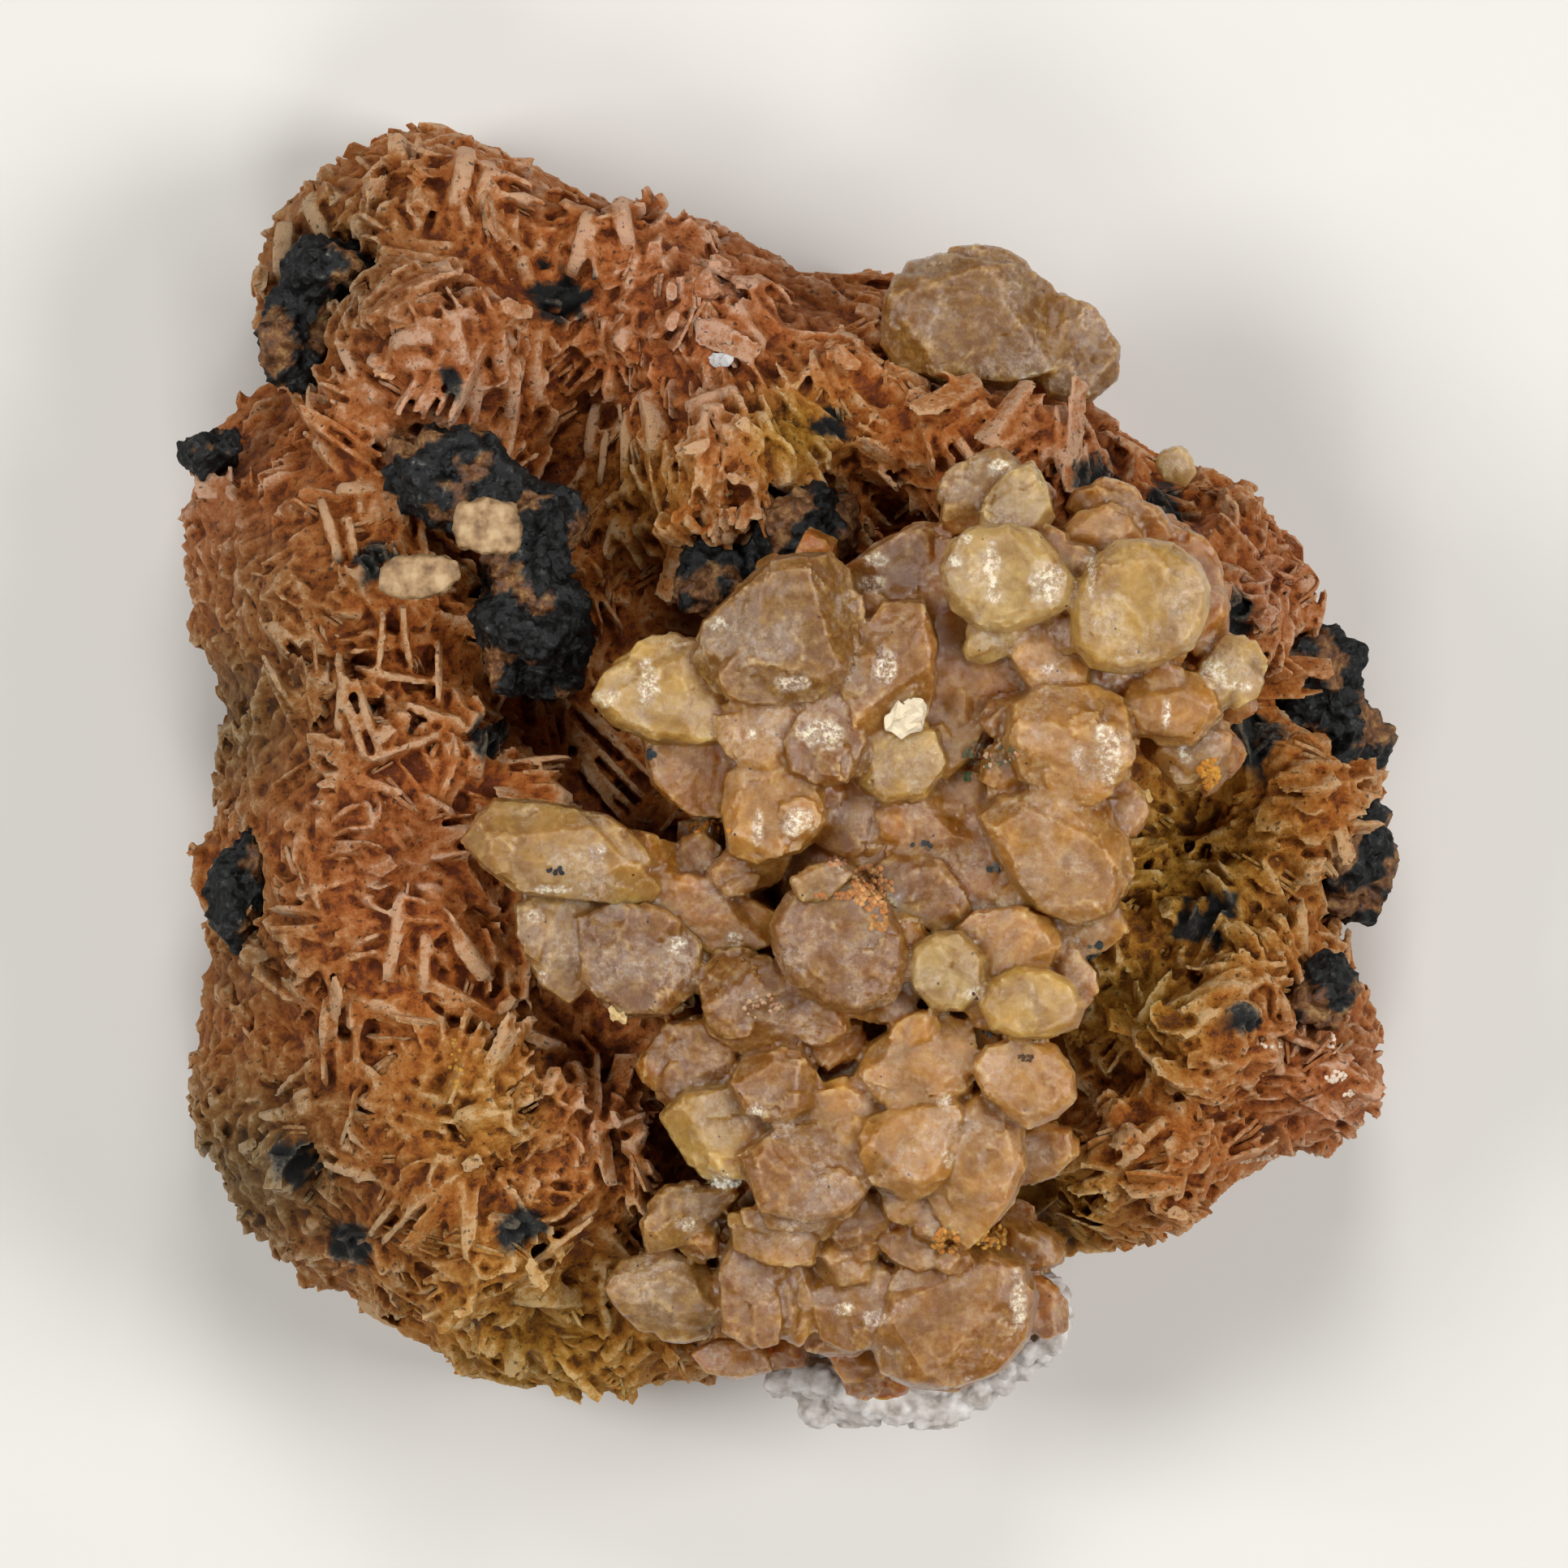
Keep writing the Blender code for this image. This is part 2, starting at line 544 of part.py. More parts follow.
def galena_object(name, collection, grow=0.0, mineral=None):
    """A rough rounded lump of galena, with its lobes still overlapping."""
    bm = bmesh.new()
    for lobe in GALENA[name]:
        centre = Vector(lobe[:3])
        for vertex in add_lobe(bm, lobe, 2):
            out = vertex.co - centre
            rough = 1 + GALENA_ROUGHNESS * noise.noise(out * 1.3 + centre)
            vertex.co = centre + out * rough + out.normalized() * grow
    return make_object(name, bm, collection, mineral)


def crust_object(name, collection, grow=0.0, mineral=None):
    """The white crust: small many-sided knobs run together, each turned its own way."""
    bm = bmesh.new()
    for x, y, z, radius in CRUST:
        add_lobe(bm, (x, y, z, radius, radius, radius, 20 * x), 1, grow)
    return make_object(name, bm, collection, mineral)


def grown_together(obj, helpers):
    """Joins the overlapping shapes of one object into a single closed body that ends at the table."""
    combine(obj, table_cutter(helpers), "DIFFERENCE", True)
    keep_largest(obj)


def clear_scene():
    for obj in list(bpy.data.objects):
        bpy.data.objects.remove(obj)


def new_collection(name):
    collection = bpy.data.collections.new(name)
    bpy.context.scene.collection.children.link(collection)
    return collection


def main():
    clear_scene()
    nodes = new_collection("barite_with_cerussite")
    helpers = new_collection("cutters")
    helpers.hide_render = True

    barite = barite_body(nodes, helpers)
    combine(barite, big_blades(helpers, surface_finder(barite)), "UNION", True)
    combine(barite, table_cutter(helpers), "DIFFERENCE")

    pieces = {
        "cerussite_cluster": (cluster_object, "cerussite"),
        "white_crust": (crust_object, "white_crust"),
    }
    pieces.update({name: (single_crystal, "cerussite") for name in SINGLE_CRYSTALS})
    pieces["pale_block"] = (single_crystal, "pale_barite")
    pieces.update({name: (galena_object, "galena") for name in GALENA})
    made = []
    for name, (shape, mineral) in pieces.items():
        piece = shape(name, nodes, mineral=mineral)
        grown_together(piece, helpers)
        for other in made:
            cutter = pieces[other][0](other, helpers, grow=SEAM)
            combine(piece, cutter, "DIFFERENCE", True)
        keep_largest(piece)
        close_up(piece)
        made.append(name)
        combine(barite, shape(name, helpers, grow=SEAM), "DIFFERENCE", True)
    keep_largest(barite)
    close_up(barite)


main()
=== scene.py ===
import json
import math
import random

import bmesh
import bpy
import numpy as np
from mathutils import Euler, Matrix, Vector, noise
from mathutils.bvhtree import BVHTree

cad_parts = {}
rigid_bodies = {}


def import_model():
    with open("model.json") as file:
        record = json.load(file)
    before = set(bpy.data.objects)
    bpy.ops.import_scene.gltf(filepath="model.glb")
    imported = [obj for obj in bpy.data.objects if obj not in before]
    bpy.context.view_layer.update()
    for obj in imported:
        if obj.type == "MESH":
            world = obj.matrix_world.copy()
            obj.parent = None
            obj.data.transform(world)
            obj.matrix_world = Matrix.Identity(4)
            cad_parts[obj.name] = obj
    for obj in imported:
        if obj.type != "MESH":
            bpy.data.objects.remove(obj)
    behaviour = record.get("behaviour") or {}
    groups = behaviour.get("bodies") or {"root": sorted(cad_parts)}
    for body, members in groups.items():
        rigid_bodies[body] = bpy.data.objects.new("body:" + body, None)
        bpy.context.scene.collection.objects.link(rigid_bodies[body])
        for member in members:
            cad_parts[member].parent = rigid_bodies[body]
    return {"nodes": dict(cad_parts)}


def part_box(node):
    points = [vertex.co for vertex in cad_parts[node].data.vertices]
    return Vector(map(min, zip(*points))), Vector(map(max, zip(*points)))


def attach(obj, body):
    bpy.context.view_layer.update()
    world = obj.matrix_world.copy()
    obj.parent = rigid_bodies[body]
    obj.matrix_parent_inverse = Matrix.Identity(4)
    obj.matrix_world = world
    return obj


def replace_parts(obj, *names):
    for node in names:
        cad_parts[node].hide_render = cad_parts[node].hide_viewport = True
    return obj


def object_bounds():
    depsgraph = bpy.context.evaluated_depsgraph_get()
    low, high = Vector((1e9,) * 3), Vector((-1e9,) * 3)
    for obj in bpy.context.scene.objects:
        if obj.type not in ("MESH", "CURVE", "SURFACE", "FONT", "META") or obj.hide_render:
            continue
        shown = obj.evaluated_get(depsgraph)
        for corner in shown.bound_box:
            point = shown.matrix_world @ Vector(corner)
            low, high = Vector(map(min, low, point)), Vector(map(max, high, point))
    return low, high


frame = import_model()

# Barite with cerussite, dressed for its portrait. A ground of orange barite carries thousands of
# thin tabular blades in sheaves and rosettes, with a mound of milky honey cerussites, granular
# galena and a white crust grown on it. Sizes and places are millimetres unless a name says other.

MM = 0.001
cad_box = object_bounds()
BOX_LOW, BOX_HIGH = (np.array(corner) / MM for corner in cad_box)
UP = Vector((0, 0, 1))
DOWN = Vector((0, 0, -1))
ABOVE_ALL = 60
# Vector noise starts from the clock unless it has a seed
noise.seed_set(7)

# Ground of barite, in two halves that overlap a little at the parting
PARTS = {"left": -1, "right": 1}
GROUND_PARTING = -3.3
PART_OVERLAP = 0.4
GROUND_VOXEL = 0.34
GROUND_SHRINK = 0.6
GROUND_RELIEF = 0.3
GROUND_GRAIN = 1.5
GROUND_FINE_GRAIN = 0.9
RIDGE_PATCH = 3.6
RIDGE_PITCH = 0.95
RIDGE_HEIGHT = 0.3
RIDGE_WANDER = 1.7
RIDGE_FADING = 2.4
BASE_FADE = 1.2
BASE_FLAT = 0.02
# The skin of ground and blades: its triangles at most, its sharp angle in degrees, its grain, and how
# its painted light follows what stands out of it and its painted shade what is sunk
BARITE_VOXEL = 0.165
BARITE_MOST = 196000
BARITE_SHARP = 40
SKIN_GRAIN = 0.07
SKIN_GRAIN_SIZE = 0.5
TIP_TONE = 0.45
TIP_NEAR = 1.45
TIP_BROAD = 0.5
NEAR_ROUNDS = 8
BROAD_ROUNDS = 40
BLADE_REACH = 0.4
# What nobody sees of it: the wall at the parting, the undersides and what is near the base
UNSEEN_WALL = 0.9
UNSEEN_WALL_DEPTH = 1.5
UNSEEN_UNDERSIDE = 8
UNSEEN_BASE = 0.6
UNSEEN_TAKEN = 0.93

# Barite blades
BLADE_OUTLINES = (
    ((-0.5, -0.5), (-0.5, 0.32), (-0.36, 0.5), (0.05, 0.4), (0.4, 0.5), (0.5, 0.25), (0.5, -0.5)),
    ((-0.5, -0.5), (-0.46, 0.2), (-0.2, 0.5), (0.3, 0.46), (0.5, 0.1), (0.5, -0.5)),
    ((-0.42, -0.5), (-0.5, 0.4), (-0.1, 0.5), (0.5, 0.36), (0.42, -0.5)),
    ((-0.5, -0.2), (-0.3, 0.4), (0.1, 0.5), (0.5, 0.2), (0.45, -0.4), (-0.3, -0.5)),
)
BLADE_FORMS = 12
BLADE_RAGGED = 0.03
BLADE_TAPER = 0.8
BLADE_BEND = 0.05
BLADE_POINTED = 0.25
BLADE_HIGHEST = 1.5
# Painted shade at the foot of a blade, and painted light that rises towards its top edge
BLADE_FOOT_TONE = 0.5
BLADE_TONE_RISE = 0.3
BLADE_THICKNESS = (0.2, 0.36)
SLIVER_THICKNESS = (0.14, 0.24)
# Lengths: the shortest, how much longer the longest is, and a power above 1 where short ones prevail
BLADE_LENGTHS = (1.8, 3.4, 1.4)
FLANK_LENGTHS = (1.0, 1.0, 1.0)
SLIVER_LENGTHS = (1.0, 1.8, 1.0)
# Sheaves: blades in one, distance between them, and how many degrees each opens from the next
SHEAF_COUNTS = (1, 2, 3, 4, 5, 6)
SHEAF_SPACING = 0.56
SHEAF_OPENING = (1, 10)
SHEAVES = 4800
SLIVERS = 3000
BLADE_CLEAR_OF_MOUND = 0.2
BLADE_PAST_OUTLINE = 0.35
BLADE_LOWEST = 0.8
BLADE_OVERHANG = -0.35
# Where the specimen's side is a flank with short blades: left of this place, or this steep
FLANK_LEFT = -24
FLANK_STEEP = 0.3

# Bars and plates placed one by one: steepest slope, lean, height, and the share of it in the ground
BAR_STEEPEST = 1.2
BAR_LEAN = 0.18
BAR_HEIGHT = 1.1
BAR_HEIGHT_MORE = 0.5
BAR_SUNK = 0.22
PETAL_SUNK = 0.05
# Single bars that stand out on the face: both ends on the sheet of outlines, and the thickness
BARS = (
    # the bundle beside the mound's left tip, and the rosette on its left
    (705, 868, 800, 955, 0.42), (695, 885, 790, 982, 0.38), (715, 868, 792, 940, 0.3),
    (690, 900, 775, 1000, 0.4), (745, 865, 805, 935, 0.3), (700, 930, 760, 1005, 0.35),
    (395, 925, 480, 937, 0.45), (400, 948, 500, 976, 0.5), (460, 938, 550, 902, 0.32),
    (495, 930, 548, 905, 0.25), (540, 838, 622, 888, 0.35), (562, 858, 612, 882, 0.3),
    (573, 902, 540, 1002, 0.38), (592, 915, 552, 1000, 0.35), (600, 1000, 556, 1040, 0.4),
    (476, 752, 470, 832, 0.35), (497, 748, 506, 822, 0.4), (540, 790, 541, 862, 0.3),
    (428, 835, 420, 900, 0.4), (425, 845, 455, 932, 0.45), (445, 845, 472, 925, 0.4),
    (480, 850, 490, 915, 0.4), (500, 860, 470, 900, 0.35), (415, 820, 450, 800, 0.35),
    (455, 830, 540, 842, 0.4), (585, 845, 640, 880, 0.35), (650, 865, 668, 905, 0.4),
    (505, 870, 580, 900, 0.5),
    # the star, the long vertical bars and the slabs of the lower left
    (405, 1235, 400, 1305, 0.4), (425, 1215, 412, 1288, 0.35), (447, 1238, 440, 1308, 0.42),
    (340, 1350, 390, 1305, 0.35), (460, 1328, 525, 1388, 0.45), (450, 1308, 500, 1352, 0.35),
    (480, 1372, 512, 1402, 0.35), (498, 1302, 562, 1240, 0.4), (520, 1205, 690, 1295, 0.8),
    (735, 1275, 738, 1402, 0.4), (700, 1308, 736, 1352, 0.35), (765, 1305, 740, 1352, 0.35),
    (757, 1384, 800, 1368, 0.3), (736, 1352, 742, 1440, 0.4), (680, 1338, 722, 1362, 0.3),
    (618, 1280, 636, 1325, 0.35), (640, 1300, 682, 1352, 0.35), (655, 1322, 700, 1362, 0.3),
    (640, 1330, 600, 1310, 0.35), (600, 1340, 640, 1395, 0.4), (560, 1340, 610, 1380, 0.4),
    (560, 1438, 562, 1542, 0.4), (575, 1440, 577, 1542, 0.38), (592, 1448, 586, 1530, 0.35),
    (545, 1418, 602, 1452, 0.4), (500, 1468, 455, 1522, 0.4), (520, 1480, 470, 1530, 0.35),
    (540, 1430, 520, 1500, 0.35), (400, 1430, 470, 1450, 0.5), (632, 1590, 715, 1600, 1.2),
    (735, 1588, 752, 1652, 0.35), (745, 1555, 738, 1605, 0.35), (620, 1508, 662, 1582, 0.45),
    (640, 1560, 655, 1592, 0.35), (555, 1130, 602, 1200, 0.8), (530, 1150, 524, 1222, 0.6),
    (500, 1100, 482, 1202, 0.6), (470, 1180, 510, 1140, 0.5), (500, 1560, 515, 1600, 0.35),
    (550, 1600, 570, 1640, 0.35),
    # the hollow, the corner and the fan of the right side
    (1450, 1245, 1540, 1200, 0.5), (1470, 1240, 1560, 1205, 0.5), (1505, 1295, 1550, 1330, 0.4),
    (1500, 1310, 1550, 1350, 0.4), (1560, 1270, 1580, 1330, 0.5), (1590, 1280, 1625, 1290, 0.4),
    (1600, 1350, 1640, 1400, 0.4), (1560, 1380, 1600, 1400, 0.35), (1640, 1310, 1690, 1335, 0.35),
    (1340, 1430, 1400, 1360, 0.7), (1360, 1450, 1450, 1380, 0.8), (1400, 1460, 1455, 1365, 0.6),
    (1450, 1475, 1462, 1370, 0.6), (1480, 1480, 1500, 1400, 0.5), (1300, 1400, 1380, 1385, 0.5),
    (1300, 1430, 1400, 1440, 0.6), (1430, 1300, 1480, 1290, 0.4), (1340, 1280, 1370, 1330, 0.35),
    (1400, 1240, 1380, 1290, 0.35), (1420, 1320, 1400, 1360, 0.4), (1350, 1040, 1440, 1035, 0.4),
    (1440, 1060, 1560, 1080, 0.5), (1500, 1040, 1560, 1060, 0.4), (1560, 1060, 1590, 1120, 0.45),
    (1430, 1090, 1460, 1130, 0.4), (1560, 1150, 1620, 1160, 0.5), (1610, 1060, 1640, 1120, 0.5),
    (745, 520, 735, 590, 0.4), (760, 640, 790, 700, 0.4), (430, 640, 440, 690, 0.4),
    (520, 640, 525, 690, 0.4),
)
# Thick rounded plates that stand on edge: both ends on the sheet, thickness and height
PETALS = (
    # the tall ribs in the upper middle
    (798, 480, 808, 560, 0.9, 1.6), (808, 545, 822, 635, 0.7, 1.4), (770, 500, 768, 590, 0.5, 1.2),
    (870, 505, 860, 600, 0.5, 1.2), (905, 480, 845, 500, 0.6, 1.2), (730, 490, 722, 560, 0.6, 1.2),
    # the scalloped fins of the top and the upper left lobe
    (508, 158, 478, 240, 1.2, 2.0), (540, 170, 548, 240, 0.9, 1.8), (572, 172, 560, 245, 1.0, 1.8),
    (600, 190, 585, 262, 0.8, 1.7), (632, 192, 612, 275, 0.9, 1.7), (664, 218, 660, 300, 0.9, 1.7),
    (692, 245, 685, 325, 0.7, 1.5), (722, 262, 702, 335, 0.7, 1.5), (412, 212, 436, 262, 0.9, 1.6),
    (452, 208, 458, 270, 0.8, 1.6), (372, 228, 392, 282, 0.9, 1.6), (342, 262, 338, 330, 1.0, 1.6),
    (640, 300, 650, 345, 0.6, 1.4), (760, 235, 770, 290, 0.8, 1.3), (800, 240, 805, 300, 0.9, 1.3),
    (850, 255, 850, 300, 0.8, 1.2), (405, 318, 438, 392, 0.8, 1.4), (432, 322, 475, 390, 0.7, 1.4),
    (455, 312, 500, 362, 0.6, 1.3), (462, 292, 560, 300, 0.5, 1.2), (470, 306, 575, 322, 0.5, 1.2),
    (500, 322, 590, 345, 0.5, 1.1), (385, 350, 405, 415, 0.7, 1.3), (590, 350, 640, 400, 0.6, 1.3),
    (575, 372, 612, 440, 0.7, 1.4), (612, 395, 618, 480, 0.8, 1.4), (560, 385, 575, 452, 0.6, 1.3),
    (592, 452, 575, 525, 0.8, 1.4), (632, 440, 625, 512, 0.8, 1.4), (655, 420, 660, 500, 0.7, 1.4),
    (480, 425, 532, 415, 0.8, 1.2), (485, 448, 540, 452, 0.7, 1.2), (440, 470, 480, 500, 0.6, 1.3),
    (455, 440, 478, 455, 0.7, 1.2), (430, 500, 490, 540, 0.7, 1.3), (520, 490, 560, 530, 0.7, 1.3),
    (545, 480, 600, 520, 0.8, 1.3), (420, 420, 440, 470, 0.6, 1.3), (420, 600, 500, 615, 0.7, 1.4),
    (500, 612, 545, 655, 0.6, 1.4), (395, 612, 420, 690, 0.5, 1.2), (630, 935, 690, 985, 1.1, 1.6),
    (632, 1594, 715, 1600, 1.2, 1.2), (560, 1140, 600, 1205, 0.8, 1.5),
    (530, 1150, 526, 1220, 0.6, 1.4), (500, 1105, 484, 1200, 0.6, 1.4),
    (1340, 1430, 1398, 1362, 0.5, 1.6), (1366, 1446, 1436, 1374, 0.6, 1.6),
    (1400, 1460, 1456, 1368, 0.5, 1.5), (1452, 1475, 1462, 1370, 0.5, 1.5),
    (1482, 1480, 1500, 1400, 0.4, 1.4), (1305, 1425, 1398, 1432, 0.5, 1.3),
    (1440, 1240, 1540, 1190, 0.5, 1.4), (1470, 1262, 1560, 1200, 0.5, 1.4),
)
# Centres that the blades around them follow, radially or round about: place, reach and kind
SPRAYS = (
    (515, 430, 130, "rose"), (590, 350, 190, "star"), (410, 300, 90, "star"), (830, 260, 360, "star"),
    (1300, 470, 110, "star"), (1010, 440, 90, "star"), (448, 880, 62, "rose"), (415, 1045, 110, "rose"),
    (570, 1000, 70, "star"), (640, 960, 60, "rose"), (740, 780, 110, "star"), (735, 1335, 105, "star"),
    (545, 1200, 95, "rose"), (430, 1370, 110, "star"), (575, 1400, 120, "star"), (470, 1510, 80, "star"),
    (650, 1540, 80, "star"), (350, 1240, 70, "rose"), (1290, 1450, 190, "star"), (1590, 1340, 110, "star"),
    (1420, 1270, 130, "star"), (1470, 1040, 110, "star"), (1630, 1160, 70, "rose"), (330, 880, 90, "rose"),
    (300, 620, 80, "star"), (360, 720, 80, "star"),
)
# A spray rules the blades up to this share of its reach, and the blades elsewhere run in patches
SPRAY_EDGE = 1.25
RUN_PATCH = 5.0

# Cerussite mound
MOUND_VOXEL = 0.165
MOUND_PARTING = -7.0
SHARP_ANGLE = 30
# Crystals that grow beside a larger one: size, distance and rise as shares of its reach
GROWTH_PLATES = ((0.5, 0.55, -0.05), (0.55, 0.55, -0.2))
# Small flat faces that the surface breaks into: their size in millimetres and slope
FACE_BREAKS = ((1.7, 0.13), (0.7, 0.14))
FACE_GRAIN = 0.03
FACE_GRAIN_SIZE = 0.4
# Depths from which a crystal is out of sight: any face, and a face that looks down
UNSEEN_DEPTH = 5.0
UNSEEN_OVERHANG = 2.0
MOUND_TAKEN = 0.95
DEPTH_GRID = 0.4
DEPTH_ROUNDS = 10
# How deep, sunk or proud a point is when it fully takes the painted shade of a hollow or the painted
# highlight of an edge
HOLLOW_DEPTH = 2.0
HOLLOW_SUNK = 0.35
EDGE_PROUD = 0.05
FILL_CRYSTALS = 160
FILL_SIZES = (0.9, 1.7)
FILL_TINTS = ("honey", "tan", "amber", "tan", "honey", "mauve")
FILL_HIGHEST = 26
FILL_CORE = 20
# Places on the sheet where no small crystal stands, with their reach in millimetres
FREE_OF_FILL = ((836, 755, 2.0), (1007, 668, 1.6), (880, 760, 1.8), (855, 800, 1.5))

# Galena, flat blocks and crust
GALENA_VOXEL = 0.22
GALENA_GRAIN = 0.7
GALENA_LOBE = 2.4
GALENA_RUST = {"galena_middle": 0.2, "galena_left": 0.04}
RUST_PATCH = 2.6
FINE_GRAIN = 0.35
CRUST_VOXEL = 0.18
CRUST_WART = 0.8
TABLET_VOXEL = 0.2
TABLET_GRAIN = 0.16
TABLET_GRAIN_SIZE = 0.6
# Knobs that make the fringe of the crust: place on the sheet, height and radius
CRUST_KNOBS = (
    (962, 1702, 14.5, 0.9), (985, 1692, 15, 0.9), (1012, 1700, 15, 1.1), (1045, 1712, 14.5, 1.2),
    (1075, 1722, 14, 1.1), (1105, 1728, 14, 1.2), (1140, 1735, 13.5, 1.2), (1172, 1730, 13.5, 1.1),
    (1205, 1715, 14, 1.0), (1232, 1698, 14.5, 0.9), (1258, 1682, 15, 0.8), (1280, 1662, 15.5, 0.9),
    (1298, 1640, 16, 0.9), (1305, 1615, 16, 0.7), (1292, 1655, 17, 0.7), (1010, 1735, 12.5, 1.1),
    (1050, 1742, 12, 1.0), (1160, 1748, 12, 0.9), (1265, 1665, 17, 0.7), (1240, 1685, 16.5, 0.6),
)
# The two flat pale blocks on the left galena, with their corners on the sheet
TABLETS = {
    "pale_tablet": (
        (563, 620), (600, 614), (632, 620), (643, 650), (640, 680), (602, 682), (564, 676), (556, 645),
    ),
    "tan_tablet": (
        (468, 698), (490, 686), (530, 684), (563, 690), (566, 712), (545, 732), (500, 738), (468, 730),
    ),
}
TABLET_THICKNESS = 1.3
# Dust and flakes on the crystals: place and half sizes on the sheet, number, size in millimetres, tones
CLUMPS = (
    (1115, 885, 19, 16, 1, 1.6, ("#DECFB2",)),
    (1422, 982, 12, 17, 1, 1.1, ("#D8B470",)),
    (1488, 955, 14, 20, 44, 0.4, ("#D89630", "#C27C20")),
    (1397, 1045, 7, 17, 22, 0.35, ("#D89630", "#C88426")),
    (1165, 1527, 17, 16, 44, 0.35, ("#B4742A", "#C88A38")),
    (1222, 1527, 20, 14, 50, 0.35, ("#DA9C3C", "#C88430")),
    (1332, 1282, 13, 12, 30, 0.35, ("#D0943A", "#BA7E2C")),
    (1215, 930, 34, 16, 46, 0.3, ("#B87A50", "#C4A080", "#8A6C48", "#5A5A3C")),
    (1190, 957, 6, 5, 6, 0.28, ("#2E4420", "#3E5A2A")),
    (1072, 1092, 26, 26, 120, 0.32, ("#B0703A", "#C08048", "#CE9458")),
    (1082, 1130, 14, 16, 40, 0.3, ("#B47438", "#C68E50")),
    (1025, 1102, 26, 5, 26, 0.25, ("#B06E38",)),
    (1030, 1060, 14, 8, 16, 0.25, ("#B4764A", "#C49068")),
    (872, 1020, 30, 8, 26, 0.3, ("#C07A1C", "#A86414")),
    (800, 930, 7, 6, 4, 0.35, ("#222C30",)),
    (1222, 1068, 8, 9, 7, 0.32, ("#3A4240", "#5C6058")),
    (1218, 1275, 8, 5, 5, 0.3, ("#22343A",)),
    (1345, 1175, 16, 14, 10, 0.4, ("#1C2426", "#4A4A3C")),
    (1135, 1042, 14, 5, 8, 0.3, ("#2A2C2A", "#5A5448")),
    (690, 1072, 12, 4, 8, 0.25, ("#20221E",)),
    (762, 1247, 10, 10, 1, 0.9, ("#D8B880",)),
    (835, 1242, 9, 8, 1, 0.7, ("#CCA870",)),
    (888, 1456, 28, 5, 34, 0.3, ("#EDE2CC",)),
    (582, 555, 15, 5, 12, 0.35, ("#9A380C", "#B04A14")),
    (885, 435, 5, 12, 1, 0.9, ("#C4C2C0",)),
    (1650, 1290, 8, 12, 14, 0.3, ("#E4C8B0",)),
    (1655, 1332, 12, 7, 14, 0.3, ("#E4C8B0",)),
    (1672, 1352, 8, 6, 8, 0.3, ("#E4C8B0",)),
    (1600, 1441, 60, 5, 46, 0.3, ("#C8AC90", "#B4947A")),
    (1575, 1290, 20, 4, 10, 0.25, ("#E4C8B0",)),
    (470, 455, 12, 8, 1, 0.9, ("#C89870",)),
    (1200, 1225, 5, 5, 3, 0.2, ("#4A2A12",)),
    (1262, 1298, 14, 5, 14, 0.2, ("#4A3418",)),
    (940, 1235, 26, 18, 30, 0.22, ("#A87858", "#C09874")),
    (560, 1310, 10, 30, 14, 0.25, ("#B8862C",)),
)

# Zones of colour on the barite: x, y, reach, strength
SALMON_ZONES = (
    (-17.5, 20.5, 6.5, 0.9),
    (-4.5, 24.0, 8.0, 1.0),
    (-28.0, 13.5, 5.0, 0.9),
    (-19.5, -3.5, 6.0, 0.7),
    (-10.5, -17.0, 5.0, 0.8),
    (14.0, 17.5, 5.0, 0.7),
    (27.0, -15.5, 5.0, 0.9),
    (24.5, 9.5, 4.0, 0.9),
    (-14.0, 30.0, 6.0, 0.5),
)
OCHRE_ZONES = (
    (19.5, -4.5, 6.5, 1.0),
    (17.0, -10.5, 5.0, 0.9),
    (13.0, -22.0, 4.0, 1.0),
    (-12.0, -29.5, 8.0, 0.9),
    (-14.5, -16.5, 4.0, 0.6),
    (0.6, 16.8, 2.4, 1.0),
    (21.0, 0.5, 3.0, 1.0),
    (-7.0, 14.0, 3.0, 0.5),
)
TAN_ZONES = (
    (-27.0, -20.0, 7.0, 1.0),
    (-27.5, 3.0, 5.5, 0.9),
    (-25.5, 8.5, 5.0, 0.5),
    (-23.0, 25.5, 5.0, 0.7),
    (-27.0, -9.0, 4.5, 0.6),
)
DARK_ZONES = (
    (2.2, 17.2, 0.9, 1.0),
    (-11.0, 23.8, 1.7, 1.0),
    (-20.2, 10.6, 1.3, 1.0),
    (-14.4, 1.6, 1.2, 1.0),
    (-24.0, -19.0, 1.6, 1.0),
    (-21.4, -23.0, 1.6, 1.0),
    (-13.0, -22.2, 1.3, 1.0),
    (20.6, -7.4, 1.4, 1.0),
    (21.8, -6.2, 1.1, 1.0),
    (15.4, 14.6, 1.7, 1.0),
    (19.0, 13.4, 1.5, 1.0),
    (22.2, 7.8, 1.6, 1.0),
    (23.2, 1.8, 1.9, 1.0),
    (-16.2, 19.4, 0.8, 1.0),
    (22.5, -12.0, 1.2, 0.9),
)
DARK_BORDER = 9
DARK_RAGGED = 0.6
DARK_RAGGED_SIZE = 0.9
# The stone's own colours, from the painted shade at the foot of a blade to the painted light at its
# edge, for the stone at large and for each kind of zone
BARITE_TONES = ((0.0, "#642802"), (0.3, "#984E0A"), (0.55, "#A86426"), (0.8, "#B27C4A"), (1.0, "#C29A72"))
ZONE_TONES = {
    "salmon": ((0.0, "#5E2606"), (0.35, "#944E1A"), (0.65, "#A86A3E"), (0.85, "#B48060"), (1.0, "#C49C82")),
    "ochre": ((0.0, "#5A3202"), (0.35, "#946208"), (0.65, "#AC802A"), (0.85, "#B89048"), (1.0, "#C8AA70")),
    "tan": ((0.0, "#362206"), (0.35, "#604016"), (0.65, "#74582E"), (0.85, "#86704C"), (1.0, "#9C886A")),
    "dark": ((0.0, "#040404"), (0.4, "#101110"), (0.75, "#2A2A28"), (1.0, "#5E5648")),
}

